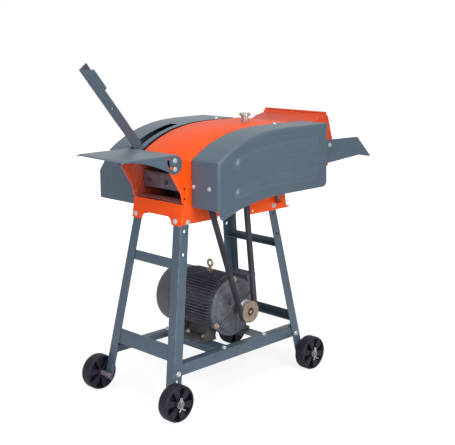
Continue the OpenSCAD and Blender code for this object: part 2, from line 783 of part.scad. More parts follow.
module motor_eyebolt() {
  color(steel) {
    translate([motor_x, 22, motor_z + 92.2])
      cylinder(h = 3, r = 9);
    translate([motor_x, 22, motor_z + 93])
      cylinder(h = 14, r = 4.5);
    translate([motor_x, 22, motor_z + 114])
      rotate([0, 90, 0])
        rotate_extrude()
          translate([9.5, 0])
            circle(r = 3.5);
  }
}

// Belt
belt_c = norm([main_x - motor_x, main_z - motor_z]);
belt_a = atan2(main_z - motor_z, main_x - motor_x);
belt_f = acos((pulley_r1 - pulley_r2) / belt_c);
belt_len = sqrt(belt_c * belt_c - (pulley_r2 - pulley_r1) * (pulley_r2 - pulley_r1));
module belt_section(r, slim = 0) {
  t = belt_t - slim;
  polygon([[r - t, slim - 5.6], [r + t, slim - 8.2], [r + t, 8.2 - slim], [r - t, 5.6 - slim]]);
}
module belt_arc(x, z, r, a0, a1) {
  translate([x, belt_y, z])
    rotate([90, 0, 0])
      rotate([0, 0, a0])
        rotate_extrude(angle = a1 - a0, $fn = fine)
          belt_section(r);
}
module belt_run(a, dir) {
  translate([motor_x, belt_y, motor_z])
    rotate([90, 0, 0])
      rotate([0, 0, a])
        translate([0, dir > 0 ? belt_len + 1 : 1, 0])
          rotate([90, 0, 0])
            linear_extrude(belt_len + 2)
              belt_section(pulley_r1, 0.03);
}
module drive_belt() {
  color(black) {
    belt_arc(main_x, main_z, pulley_r2, belt_a - belt_f, belt_a + belt_f);
    belt_arc(motor_x, motor_z, pulley_r1, belt_a + belt_f, belt_a - belt_f + 360);
    belt_run(belt_a + belt_f, -1);
    belt_run(belt_a - belt_f, 1);
  }
}
module grooved(r, half, bore) {
  e = gap + 0.1;
  polygon([[bore, -half], [r + 4.5, -half], [r + 4.5, -8 - e], [r - 8, -5.2 - e], [r - 8, 5.2 + e],
    [r + 4.5, 8 + e], [r + 4.5, half], [bore, half]]);
}

// Turning pieces
module main_shaft() {
  color(steel)
    rod(main_x, main_z, belt_y - 15.5, plane_a + 11, shaft_r);
}
module main_pulley() {
  color(dark)
    difference() {
      turn_y(main_x, belt_y, main_z)
        grooved(pulley_r2, 12.5, shaft_r);
      for (i = [0:4])
        rod(main_x + 40 * cos(i * 72), main_z + 40 * sin(i * 72), belt_y - 20, belt_y + 20, 13);
    }
}
module motor_pulley() {
  color(steel)
    turn_y(motor_x, belt_y, motor_z)
      grooved(pulley_r1, 12.5, 12);
}
// motor shaft with its rotor core and cooling fan
module motor_shaft() {
  color(steel) {
    rod(motor_x, motor_z, belt_y - 9, 160, 12);
    rod(motor_x, motor_z, -40, 82, 50);
    rod(motor_x, motor_z, 120, 126, 30);
    for (i = [0:7])
      translate([motor_x, 0, motor_z])
        rotate([0, i * 45, 0])
          box(26, 76, 122, 150, -1.5, 1.5);
  }
}
knife_n = 4;
knife_t = 5;
knife_w = 44;
knife_l = 2 * roller_half;
seat_r = sqrt(knife_r * knife_r - knife_w * knife_w / 4) - knife_t;
knife_turn = -4;
module around_drum() {
  for (i = [0:knife_n - 1])
    translate([main_x, 0, main_z])
      rotate([0, i * 360 / knife_n + knife_turn, 0])
        children();
}
module cutter_drum() {
  color(dark)
    difference() {
      union() {
        rod(main_x, main_z, 5 - roller_half, roller_half - 5, 30);
        for (y = [23 - roller_half, 0, roller_half - 23])
          rod(main_x, main_z, y - 5, y + 5, 66);
        around_drum()
          box(-seat_r + 3, -24, 9 - roller_half, roller_half - 9, -8, 8);
        around_drum()
          box(-seat_r, -seat_r + 9, 7 - roller_half, roller_half - 7, -20, 20);
      }
      rod(main_x, main_z, -body_half, body_half, shaft_r);
    }
}
module knives() {
  color(steel)
    around_drum()
      translate([-seat_r, 0, 0])
        rotate([90, 0, 0])
          translate([0, 0, -knife_l / 2])
            linear_extrude(knife_l)
              polygon([[0, -knife_w / 2], [0, knife_w / 2], [-knife_t, knife_w / 2 - 9],
                [-knife_t, -knife_w / 2 + 0.2]]);
}

// three bolts hold each knife on its seat
module knife_bolts() {
  color(steel)
    around_drum()
      for (y = [24 - roller_half, 0, roller_half - 24])
        translate([-seat_r - knife_t, y, -2])
          rotate([0, -90, 0])
            intersection() {
              cylinder(h = 3.4, r = 7.5, $fn = 6);
              cylinder(h = 3.4, r = 7.2);
            }
}

// Gears
// straight sided gear outline, tooth centred on +X
function gear_pts(n, m, thin) = [for (i = [0:n - 1]) let (c = 360 / n * i, q = 90 / n * thin, r = n * m / 2)
  for (k = [[r - 1.05 * m, -q - 24 * m / r], [r + 0.8 * m, -q + 14 * m / r],
    [r + 0.8 * m, q - 14 * m / r], [r - 1.05 * m, q + 24 * m / r]])
    [k[0] * cos(c + k[1]), k[0] * sin(c + k[1])]];
module gear(x, z, y0, h, n, m, turn, bore, thin = 0.84) {
  translate([x, y0 + h, z])
    rotate([90, 0, 0])
      linear_extrude(h)
        difference() {
          rotate(turn)
            polygon(gear_pts(n, m, thin));
          circle(r = bore);
        }
}
m1 = 3;
m2 = 5;
n_pin = 12;
n_big = 36;
n_small = 12;
n_low = 18;
n_roll = 14;
roll_thin = 0.62;
d_main = (n_pin + n_big) * m1 / 2;
d_low = (n_small + n_low) * m2 / 2;
ml = norm([low_x - main_x, low_z - main_z]);
ml_a = (d_main * d_main - d_low * d_low + ml * ml) / (2 * ml);
ml_h = sqrt(d_main * d_main - ml_a * ml_a);
ux = (low_x - main_x) / ml;
uz = (low_z - main_z) / ml;
idler_x = main_x + ml_a * ux + ml_h * uz;
idler_z = main_z + ml_a * uz - ml_h * ux;
t_main = atan2(idler_z - main_z, idler_x - main_x);
t_low = atan2(low_z - idler_z, low_x - idler_x);
plane_a = body_half + 14;
plane_b = plane_a + 14;
plane_c = plane_b + 16;
module drive_pinion() {
  color(steel)
    gear(main_x, main_z, plane_a, 11, n_pin, m1, t_main, shaft_r);
}
module idler_gear() {
  color(steel) {
    gear(idler_x, idler_z, plane_a, 11, n_big, m1, t_main + 180 + 180 / n_big, 10 + fit);
    gear(idler_x, idler_z, plane_a + 10.9, plane_b + 13 - plane_a - 10.9, n_small, m2, t_low, 10 + fit);
  }
}
module fluted(x, z) {
  rod(x, z, -roller_half, roller_half, roller_r - 6);
  for (i = [0:9])
    translate([x, 0, z])
      rotate([0, i * 36, 0])
        box(roller_r - 9, roller_r, -roller_half, roller_half, -2.5, 2.5);
}
module lower_roller() {
  color(dark) {
    fluted(low_x, low_z);
    rod(low_x, low_z, -body_half - 15, plane_c + 17, 10);
    gear(low_x, low_z, plane_b, 12, n_low, m2, t_low + 180 + 180 / n_low, 9);
    gear(low_x, low_z, plane_c, 13, n_roll, m2, 90, 9, roll_thin);
  }
}
module upper_roller() {
  color(dark) {
    fluted(low_x, up_z);
    rod(low_x, up_z, -body_half - 17, plane_c + 17, 10);
    gear(low_x, up_z, plane_c, 13, n_roll, m2, 270 + 180 / n_roll, 9, roll_thin);
  }
}
// flat bar between two points in the XZ plane
module bar2(a, b, w) {
  d = b - a;
  l = norm(d);
  translate(a)
    rotate(atan2(d[1], d[0]))
      translate([0, -w / 2])
        square([l, w]);
}
// swinging arms that carry the upper roller, with a tab for each spring
module roller_arms() {
  y0 = body_half + 2;
  color(dark)
    for (s = [-1, 1]) {
      xz(s > 0 ? y0 : -y0 - 5, 5)
        difference() {
          union() {
            bar2([arm_x, arm_z], [low_x, up_z], 24);
            bar2([low_x, up_z], [eye_x, eye_z + 8], 22);
            translate([arm_x, arm_z])
              circle(r = 14);
            translate([low_x, up_z])
              circle(r = 20);
            translate([eye_x, eye_z + 8])
              circle(r = 11);
          }
          translate([arm_x, arm_z])
            circle(r = 7 + fit);
          translate([low_x, up_z])
            circle(r = 10 + fit);
        }
      difference() {
        rod(low_x, up_z, s > 0 ? y0 + 4.9 : -y0 - 13, s > 0 ? y0 + 13 : -y0 - 4.9, 17);
        rod(low_x, up_z, -160, 160, 10 + fit);
      }
      box(eye_x - 11, eye_x + 11, s > 0 ? y0 : -spring_y - 10, s > 0 ? spring_y + 10 : -y0, eye_z - 3, eye_z);
    }
}

// Lever and flap
module feed_lever() {
  color(grey)
    difference() {
      translate([lever_px, 0, lever_pz])
        rotate([0, -lever_lean, 0])
          difference() {
            union() {
              xz(lever_y0, lever_d)
                union() {
                  translate([-lever_w / 2, 0])
                    square([lever_w, lever_len]);
                  circle(r = lever_w / 2);
                }
              box(lever_w / 2 - 2, lever_w / 2 + 8.5, lever_y0 + 0.5, lever_y0 + 3,
                lever_len - 96, lever_len - 26);
            }
            rod(0, lever_len - 150, lever_y0 - 1, lever_y0 + lever_d + 1, 3);
          }
      rod(lever_px, lever_pz, lever_y0 - 1, lever_y0 + lever_d + 9, 6 + fit);
    }
}
function cheek_arc(n, a0, a1, r) = [for (i = [0:n]) let (a = a0 + (a1 - a0) * i / n)
  [-211 + r * cos(a), flap_z - 25 + r * sin(a)]];
module cheek(s) {
  x0 = s > 0 ? flap_x0 + 19 : flap_x0 + 2;
  difference() {
    polygon(concat([[x0, flap_z - 0.6], [x0, flap_z - 3.5], [-357, flap_z - 8], [-309, flap_z - 17],
      [-276, flap_z - 27]], cheek_arc(14, 245, 425, 25), [[-203, flap_z - 0.6]]));
    translate([flap_px, flap_pz])
      circle(r = 4 + fit);
    slot_arc(22.4, 164, 276, 3.6);
  }
}
// curved slot about the flap pivot, with round ends
module slot_arc(r, a0, a1, h) {
  n = 10;
  step = (a1 - a0) / n;
  translate([flap_px, flap_pz])
    polygon(concat(
      [for (i = [0:n]) (r + h) * [cos(a0 + step * i), sin(a0 + step * i)]],
      [for (i = [1:5]) r * [cos(a1), sin(a1)] + h * [cos(a1 + 30 * i), sin(a1 + 30 * i)]],
      [for (i = [0:n]) (r - h) * [cos(a1 - step * i), sin(a1 - step * i)]],
      [for (i = [1:5]) r * [cos(a0), sin(a0)] - h * [cos(a0 + 30 * i), sin(a0 + 30 * i)]]));
}
module discharge_flap() {
  yi = body_half + 0.3;
  yo = yi + sheet_t;
  color(grey) {
    for (s = [-1, 1])
      xz(s > 0 ? yi : -yo, sheet_t)
        cheek(s);
    translate([0, 0, flap_z - sheet_t])
      linear_extrude(sheet_t)
        polygon([[flap_x0, -yo - 0.2], [flap_x0 + 17, yo + 0.2], [-199, yo + 0.2], [-199, -yo - 0.2]]);
  }
}

leg_discharge_near();
leg_discharge_far();
leg_feed_near();
leg_feed_far();
upper_bar_discharge();
upper_bar_feed();
lower_bar_discharge();
lower_bar_feed();
side_bar_near();
side_bar_far();
motor_rail_discharge();
motor_rail_feed();
side_plate_near();
side_plate_far();
apron_discharge();
apron_feed();
top_cover();
drum_concave();
shear_bar();
throat_floor();
feed_hood();
feed_tray();
belt_cover();
gear_cover();
brackets();
bearing_housings();
motor_frame();
motor_end_bell();
motor_fan_cover();
terminal_box();
motor_eyebolt();
drive_belt();
frame_bolts();
cover_bolts();
flap_bolts();
top_bolt();
arm_pins();
float_springs();
idler_pin();
lever_pin();
wheel_axles();
axle_washers();
main_shaft();
cutter_drum();
knives();
knife_bolts();
main_pulley();
drive_pinion();
motor_shaft();
motor_pulley();
idler_gear();
lower_roller();
roller_arms();
upper_roller();
feed_lever();
discharge_flap();
wheel_discharge_near();
wheel_discharge_far();
wheel_feed_near();
wheel_feed_far();
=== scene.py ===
import json
import math

import bmesh
import bpy
from mathutils import Matrix, Vector

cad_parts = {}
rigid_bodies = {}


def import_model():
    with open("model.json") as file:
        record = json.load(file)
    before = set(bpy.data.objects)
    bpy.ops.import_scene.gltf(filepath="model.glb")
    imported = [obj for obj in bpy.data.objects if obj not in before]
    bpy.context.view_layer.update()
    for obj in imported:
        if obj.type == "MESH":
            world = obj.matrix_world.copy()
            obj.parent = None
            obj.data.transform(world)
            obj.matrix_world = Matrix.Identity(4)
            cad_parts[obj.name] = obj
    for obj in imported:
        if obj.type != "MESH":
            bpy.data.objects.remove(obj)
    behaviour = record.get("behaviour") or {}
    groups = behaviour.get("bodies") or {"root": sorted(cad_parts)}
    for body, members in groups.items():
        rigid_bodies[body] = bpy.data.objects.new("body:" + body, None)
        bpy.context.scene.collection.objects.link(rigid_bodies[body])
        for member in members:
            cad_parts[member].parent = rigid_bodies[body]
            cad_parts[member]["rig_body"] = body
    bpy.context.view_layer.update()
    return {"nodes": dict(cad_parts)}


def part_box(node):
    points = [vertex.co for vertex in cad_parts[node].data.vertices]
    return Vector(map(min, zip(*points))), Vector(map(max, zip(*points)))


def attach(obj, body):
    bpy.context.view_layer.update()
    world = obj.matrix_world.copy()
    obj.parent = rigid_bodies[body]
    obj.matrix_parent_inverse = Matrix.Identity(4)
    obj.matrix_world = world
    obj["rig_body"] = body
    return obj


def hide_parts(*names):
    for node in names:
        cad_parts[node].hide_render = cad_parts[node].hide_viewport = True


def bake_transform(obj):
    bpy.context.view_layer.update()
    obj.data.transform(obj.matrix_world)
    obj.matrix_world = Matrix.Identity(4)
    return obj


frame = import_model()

mm = 0.001

# Stand: four splayed legs and the bars between them.
# Folded steel angle, punched and powder coated blue grey; the coat is a little cloudy and wears
# through to a paler tone where a corner gets knocked.


def tone(red, green, blue):
    """A paint colour as it is read off a screen, turned into light."""
    shares = (v / 255 for v in (red, green, blue))
    return tuple(v / 12.92 if v < 0.0404 else ((v + 0.055) / 1.055) ** 2.4 for v in shares) + (1,)


class Shade:
    """One value in a node tree; sums on it add the nodes that work them out."""

    def __init__(self, tree, socket):
        self.tree = tree
        self.socket = socket

    def node(self, kind, settings=None, sockets=None, out=0):
        made = self.tree.nodes.new(kind)
        for name, value in (settings or {}).items():
            if name == "stops":
                stops = made.color_ramp.elements
                while len(stops) < len(value):
                    stops.new(1.0)
                for stop, (place, grey) in zip(stops, value):
                    stop.position = place
                    stop.color = (grey, grey, grey, 1)
            else:
                setattr(made, name, value)
        for name, value in (sockets or {}).items():
            if isinstance(value, Shade):
                self.tree.links.new(value.socket, made.inputs[name])
            else:
                made.inputs[name].default_value = value
        return Shade(self.tree, made.outputs[out])

    def sum(self, how, first, second):
        return self.node("ShaderNodeMath", {"operation": how}, {0: first, 1: second})

    def vectors(self, how, *values, out=0):
        return self.node("ShaderNodeVectorMath", {"operation": how}, dict(enumerate(values)), out)

    def __add__(self, other):
        return self.sum("ADD", self, other)

    def __sub__(self, other):
        return self.sum("SUBTRACT", self, other)

    def __rsub__(self, other):
        return self.sum("SUBTRACT", other, self)

    def __mul__(self, other):
        return self.sum("MULTIPLY", self, other)

    __radd__ = __add__

    def colours(self, first, second):
        """From the first colour at 0 to the second at 1."""
        return self.node("ShaderNodeMix", {"data_type": "RGBA"}, {0: self, 6: first, 7: second}, out=2)

    def noise(self, scale, detail=3.0, rough=0.55):
        sockets = {"Vector": self, "Scale": scale, "Detail": detail, "Roughness": rough}
        return self.node("ShaderNodeTexNoise", None, sockets)

    def between(self, low, high):
        """0 below the low value, 1 above the high one."""
        return self.node("ShaderNodeValToRGB", {"stops": ((low, 0.0), (high, 1.0))}, {"Fac": self})

    def marked(self, name):
        """What the mesh itself says of a place, such as how worn it is."""
        return self.node("ShaderNodeAttribute", {"attribute_name": name}, out="Fac")

    def feeds(self, shader, socket):
        self.tree.links.new(self.socket, shader.inputs[socket])

    def raises(self, shader, strength, depth):
        """Lifts the surface by this value, up to the depth."""
        sockets = {"Strength": strength, "Distance": depth, "Height": self}
        self.node("ShaderNodeBump", None, sockets).feeds(shader, "Normal")


def new_finish(name, **constants):
    """A new material, its shader and the piece's own coordinates."""
    made = bpy.data.materials.new(name)
    made.use_nodes = True
    tree = made.node_tree
    shader = tree.nodes["Principled BSDF"]
    for socket, value in constants.items():
        shader.inputs[socket.replace("_", " ")].default_value = value
    place = tree.nodes.new("ShaderNodeTexCoord")
    return made, shader, Shade(tree, place.outputs["Object"])


def powder_coat(name, deep, full, rubbed, gloss, coat=0.25, shine=0.5, dust=None):
    """Baked powder paint: faint clouding, orange peel, a paler rub on worn edges, dust and painted shade
    inside.
    """
    made, shader, at = new_finish(name, Coat_Weight=coat, Coat_Roughness=0.22, Specular_IOR_Level=shine)
    cloud = at.noise(5.0, 4.0)
    film = at.noise(38.0, 5.0, 0.65)
    peel = at.noise(620.0, 2.0)
    worn = at.marked("worn")
    rub = worn * film.between(0.46, 0.62) * 0.55
    base = (cloud * 0.7 + film * 0.3).between(0.3, 0.7).colours(deep, full)
    paint = rub.colours(base, rubbed)
    # Faces marked inside take the dust colour: dust and painted shade for the dim inner walls of the mouth.
    if dust:
        inside = at.marked("inside")
        paint = (inside * (0.85 + film * 0.3)).colours(paint, dust)
    paint.feeds(shader, "Base Color")
    (gloss + (film - 0.5) * 0.16 + rub * 0.2).feeds(shader, "Roughness")
    peel.raises(shader, 0.16, 0.4 * mm)
    return made


grey_paint = powder_coat("blue_grey_powder", tone(66, 84, 98), tone(77, 95, 109),
                         tone(138, 150, 158), 0.42)


def shaded(name, bm, sharp):
    """A plain mesh with smooth faces, creased where two of them meet at more than the sharp angle."""
    for face in bm.faces:
        face.smooth = True
    for edge in bm.edges:
        edge.smooth = len(edge.link_faces) == 2 and edge.calc_face_angle(0) < math.radians(sharp)
    mesh = bpy.data.meshes.new(name)
    bm.to_mesh(mesh)
    bm.free()
    return mesh


def in_scene(name, data):
    """A new object, put in the scene."""
    made = bpy.data.objects.new(name, data)
    bpy.context.scene.collection.objects.link(made)
    return made


def add_piece(name, mesh, finish, body, node):
    """Puts a finished mesh on its body, standing for the solid it covers."""
    piece = in_scene(name, mesh)
    mesh.materials.clear()
    mesh.materials.append(finish)
    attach(piece, body)
    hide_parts(node)
    return piece


def merge_flats(bm, gap, degrees):
    """Joins points that lie together and drops the seams inside flat faces."""
    bmesh.ops.remove_doubles(bm, verts=bm.verts[:], dist=gap)
    bmesh.ops.dissolve_limit(bm, angle_limit=math.radians(degrees), verts=bm.verts[:], edges=bm.edges[:])


def creases(bm, angle):
    """The edges where two faces meet at more than an angle."""
    return [e for e in bm.edges if len(e.link_faces) == 2 and e.calc_face_angle(0) > angle]


def bevel(bm, edges, width, segments=2, clamp=False):
    """Rounds edges over and gives the new faces."""
    return bmesh.ops.bevel(bm, geom=edges, offset=width, offset_type="OFFSET", segments=segments,
                           profile=0.5, affect="EDGES", clamp_overlap=clamp)["faces"]


def dress(node, finish, width, sharp=35):
    """The solid's twin with its long edges rounded over and marked as worn."""
    source = frame["nodes"][node]
    bm = bmesh.new()
    bm.from_mesh(source.data)
    worn = bm.faces.layers.float.new("worn")
    merge_flats(bm, 2e-6, 0.06)
    long_edges = [e for e in creases(bm, math.radians(sharp)) if e.calc_length() > 5 * width]
    for face in bevel(bm, long_edges, width):
        face[worn] = 1.0
    mesh = shaded(node + "_dressed", bm, sharp)
    return add_piece(node + "_dressed", mesh, finish, source["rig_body"], node)


corners = [f"{end}_{side}" for end in ("discharge", "feed") for side in ("near", "far")]
legs = ["leg_" + corner for corner in corners]
bars = [f"{level}_bar_{end}" for level in ("upper", "lower") for end in ("discharge", "feed")]
for node in legs + bars + ["side_bar_near", "side_bar_far"]:
    dress(node, grey_paint, 0.9 * mm)

# Motor rails: two slotted angles under the side bars.
# The same folded steel, with slots that let the motor slide to tighten the belt.
for node in ("motor_rail_discharge", "motor_rail_feed"):
    dress(node, grey_paint, 0.8 * mm)

# Wheels: four moulded black plastic wheels turning on steel stub axles.
# Each has a crowned tread, a thin web and six fat ribs between hub and rim, all one moulding.


def soft_corners(points, radius, steps=4, closed=True):
    """The outline with every corner turned into an arc of up to that radius."""
    made = []
    count = len(points)
    for i, point in enumerate(points):
        here = Vector(point)
        if not closed and i in (0, count - 1):
            made.append(here)
            continue
        back = Vector(points[i - 1]) - here
        ahead = Vector(points[(i + 1) % count]) - here
        turn = back.angle(ahead)
        reach = min(radius / math.tan(turn / 2), back.length * 0.45, ahead.length * 0.45)
        start = here + back.normalized() * reach
        end = here + ahead.normalized() * reach
        for k in range(steps + 1):
            t = k / steps
            made.append(start * (1 - t) ** 2 + here * 2 * t * (1 - t) + end * t ** 2)
    return made


def polar(centre, radius, turn):
    """The point at a turn round a centre, on a flat drawing."""
    return centre[0] + radius * math.cos(turn), centre[1] + radius * math.sin(turn)


def circle(centre, radius, count):
    """Points all the way round a centre."""
    return [polar(centre, radius, 2 * math.pi * k / count) for k in range(count)]


def turned(bm, profile, x, z, closed=True, n=72):
    """Spins a profile of (radius, y) points about an axis along Y through x and z."""
    rings = []
    for radius, y in profile:
        around = circle((x, z), radius, n) if radius > 1e-6 else [(x, z)]
        rings.append([bm.verts.new((px, y, pz)) for px, pz in around])
    pairs = list(zip(rings, rings[1:])) + ([(rings[-1], rings[0])] if closed else [])
    for a, b in pairs:
        for k in range(n):
            j = (k + 1) % n
            corners = list(dict.fromkeys((a[k % len(a)], a[j % len(a)], b[j % len(b)], b[k % len(b)])))
            if len(corners) > 2:
                bm.faces.new(corners)


def weld(bm):
    """Joins points that lie together and turns the faces outwards."""
    bmesh.ops.remove_doubles(bm, verts=bm.verts[:], dist=1e-6)
    bmesh.ops.recalc_face_normals(bm, faces=bm.faces[:])


def close_up(name, bm, sharp=35):
    """Finishes a mesh with its faces pointing outwards."""
    weld(bm)
    return shaded(name, bm, sharp)


def oblong(first, last, low, high):
    """The four corners of an oblong, in order."""
    return [(first, low), (last, low), (last, high), (first, high)]


def rib_end(radius, y0, y1, half):
    """The four corners of a rib where it ends at a radius."""
    return [(radius, y0, -half), (radius, y1, -half), (radius, y1, half), (radius, y0, half)]


def skin(bm, rows):
    """Four cornered faces between neighbouring rows of points."""
    for a, b in zip(rows, rows[1:]):
        for k in range(len(a) - 1):
            bm.faces.new((a[k], a[k + 1], b[k + 1], b[k]))


def skirt(bm, rings):
    """Faces all the way round between neighbouring rings of points."""
    skin(bm, [ring + ring[:1] for ring in rings])


def loft(bm, outlines):
    """A closed block through outlines that all have as many points."""
    rings = [[bm.verts.new(point) for point in outline] for outline in outlines]
    bm.faces.new(rings[0][::-1])
    bm.faces.new(rings[-1])
    skirt(bm, rings)


def round_over(bm, width):
    """Rounds the sharp edges of a mesh built point by point."""
    weld(bm)
    bevel(bm, creases(bm, 0.6), width, clamp=True)


def plain_mesh(piece):
    """Turns a piece's modifiers into its mesh."""
    graph = bpy.context.evaluated_depsgraph_get()
    mesh = bpy.data.meshes.new_from_object(piece.evaluated_get(graph), depsgraph=graph)
    piece.modifiers.clear()
    piece.data = mesh


def new_tree(name, ports):
    """A node tree for shapes with one output, and its named inputs."""
    tree = bpy.data.node_groups.new(name, "GeometryNodeTree")
    for port, kind in ports.items():
        tree.interface.new_socket(port, in_out="INPUT", socket_type="NodeSocket" + kind)
    tree.interface.new_socket("Made", in_out="OUTPUT", socket_type="NodeSocketGeometry")
    given = tree.nodes.new("NodeGroupInput").outputs
    return tree, [Shade(tree, given[port]) for port in ports]


def repeat_round_shaft():
    """Node tree: copies of a shape turned about an axis along Y."""
    ports = {"Shape": "Geometry", "Count": "Int", "First turn": "Float", "Turn step": "Float",
             "Shaft": "Vector", "Finish": "Material"}
    tree, (shape, count, first, step, shaft, finish) = new_tree("repeat_round_shaft", ports)
    points = shape.node("GeometryNodePoints", None, {"Count": count})
    index = shape.node("GeometryNodeInputIndex")
    turn = shape.node("ShaderNodeMath", {"operation": "MULTIPLY_ADD"}, {0: index, 1: step, 2: first})
    euler = shape.node("ShaderNodeCombineXYZ", None, {"Y": turn})
    rotation = shape.node("FunctionNodeEulerToRotation", None, {0: euler})
    sockets = {"Points": points, "Instance": shape, "Rotation": rotation}
    copies = shape.node("GeometryNodeInstanceOnPoints", None, sockets)
    real = shape.node("GeometryNodeRealizeInstances", None, {0: copies})
    placed = shape.node("GeometryNodeTransform", None, {"Geometry": real, "Translation": shaft})
    painted = shape.node("GeometryNodeSetMaterial", None, {"Geometry": placed, "Material": finish})
    painted.feeds(tree.nodes.new("NodeGroupOutput"), 0)
    return tree


round_tree = repeat_round_shaft()


def grown(name, mesh, tree, values):
    """What a node tree with these inputs makes of a mesh, as one plain mesh."""
    piece = in_scene(name, mesh)
    modifier = piece.modifiers.new("nodes", "NODES")
    modifier.node_group = tree
    for port in tree.interface.items_tree:
        if port.in_out == "INPUT" and port.name in values:
            modifier[port.identifier] = values[port.name]
    plain_mesh(piece)
    made = piece.data
    bpy.data.objects.remove(piece)
    return made


def round_shaft(name, mesh, count, first, step, shaft, finish):
    """A mesh made about the origin, copied round a shaft."""
    return grown(name, mesh, round_tree, {"Count": count, "First turn": first, "Turn step": step,
                                          "Shaft": shaft, "Finish": finish})


def joined(name, *meshes):
    """Several meshes as one, keeping their faces as they are."""
    bm = bmesh.new()
    for mesh in meshes:
        bm.from_mesh(mesh)
    made = bpy.data.meshes.new(name)
    bm.to_mesh(made)
    bm.free()
    return made


def moulded_plastic():
    """Black plastic with a faint violet cast, a little cloudy, with a fine moulded grain."""
    made, shader, at = new_finish("wheel_plastic_black", Specular_IOR_Level=0.36)
    grain = at.noise(900.0, 2.0)
    cloud = at.noise(26.0, 4.0)
    cloud.between(0.35, 0.7).colours(tone(20, 19, 31), tone(32, 30, 47)).feeds(shader, "Base Color")
    (cloud * 0.25 + 0.38).feeds(shader, "Roughness")
    grain.raises(shader, 0.25, 0.3 * mm)
    return made


wheel_plastic = moulded_plastic()
bore, boss_r, boss_foot, web_half = 7.06 * mm, 13 * mm, 15 * mm, 3 * mm
crown, tread_edge, shoulder_drop, rim_wall, rim_depth = 0.2 * mm, 5 * mm, 2 * mm, 6 * mm, 9 * mm
rib_count, rib_first = 6, math.radians(15)
thin, fat = 4.6 * mm, 12.5 * mm
for corner in corners:
    node = "wheel_" + corner
    low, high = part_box(node)
    radius = (high.z - low.z) / 2
    half = (high.y - low.y) / 2
    hub = (low + high) / 2
    tyre = [(radius - rim_wall, -half), (radius - shoulder_drop, -half), (radius, -half + tread_edge),
            (radius + crown, 0), (radius, half - tread_edge), (radius - shoulder_drop, half),
            (radius - rim_wall, half), (radius - rim_depth, web_half), (radius - rim_depth, -web_half)]
    boss = [(bore, -half), (boss_r, -half), (boss_foot, -web_half),
            (boss_foot, web_half), (boss_r, half), (bore, half)]
    web = oblong(boss_foot - 1 * mm, radius - rim_depth + 2 * mm, -web_half, web_half)
    bm = bmesh.new()
    for ring, rounding in ((tyre, 2.2 * mm), (boss, 1.2 * mm), (web, 0.2 * mm)):
        turned(bm, [(p.x, p.y + hub.y) for p in soft_corners(ring, rounding)], hub.x, hub.z)
    round_part = close_up(node, bm)
    rib = bmesh.new()
    inner, outer, deep = 10 * mm, radius - 5 * mm, half - 2 * mm
    loft(rib, (rib_end(inner, -deep, deep, thin), rib_end(outer, -deep, deep, fat)))
    round_over(rib, 1.4 * mm)
    rib_mesh = close_up(node + "_rib", rib)
    ribs = round_shaft(node, rib_mesh, rib_count, rib_first, 2 * math.pi / rib_count, hub, wheel_plastic)
    body = frame["nodes"][node]["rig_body"]
    mesh = joined(node, round_part, ribs)
    add_piece(node + "_moulding", mesh, wheel_plastic, body, node)

# Axles: turned steel stubs welded under the legs, each with a plain washer and a split pin.
# The pin is bent wire, its two legs spread round the axle end.


def greyness(colour):
    """How light a colour is, from 0 to 1."""
    red, green, blue = colour[:3]
    return 0.2126 * red + 0.7152 * green + 0.0722 * blue


def bright_steel(name, dark, light, stain, rust, rough):
    """Bare or plated steel: fine drawing lines, cloudy tarnish, a little brown where it is old."""
    made, shader, at = new_finish(name)
    cloud = at.noise(60.0, 5.0, 0.6)
    fine = at.noise(1500.0, 2.0)
    rusted = at.noise(34.0, 6.0, 0.7).between(0.56, 0.74) * rust
    polish = cloud.between(0.3, 0.72)
    rusted.colours(polish.colours(dark, light), stain).feeds(shader, "Base Color")
    (rough + cloud * 0.22 + rusted * 0.3).feeds(shader, "Roughness")
    bare = greyness(dark) + polish * (greyness(light) - greyness(dark))
    (bare * (1 - rusted * 0.8)).feeds(shader, "Metallic")
    fine.raises(shader, 0.12, 0.2 * mm)
    return made


zinc = bright_steel("zinc_plate", tone(190, 190, 192), tone(236, 236, 234),
                    tone(170, 158, 120), 0.35, 0.16)
axle_steel = bright_steel("axle_steel", tone(96, 94, 100), tone(142, 140, 144),
                          tone(96, 74, 60), 0.5, 0.3)
dress("wheel_axles", axle_steel, 0.5 * mm)


def wire(bm, path, radius):
    """A round wire along points, closed at both ends."""
    rings = []
    sides = 10
    up = Vector((0.3, 0.2, 0.93))
    for i, point in enumerate(path):
        ahead = (path[min(i + 1, len(path) - 1)] - path[max(i - 1, 0)]).normalized()
        across = ahead.cross(up).normalized()
        over = across.cross(ahead)
        rings.append([point + radius * (across * u + over * v) for u, v in circle((0, 0), 1, sides)])
    loft(bm, rings)


def smooth_path(points, steps=6):
    """A rounded run through given points."""
    made = []
    for i in range(len(points) - 1):
        a, b = points[max(i - 1, 0)], points[i]
        c, d = points[i + 1], points[min(i + 2, len(points) - 1)]
        for k in range(steps):
            t = k / steps
            made.append(0.5 * (2 * b + (c - a) * t + (2 * a - 5 * b + 4 * c - d) * t ** 2
                               + (3 * b - a - 3 * c + d) * t ** 3))
    return made + [points[-1]]


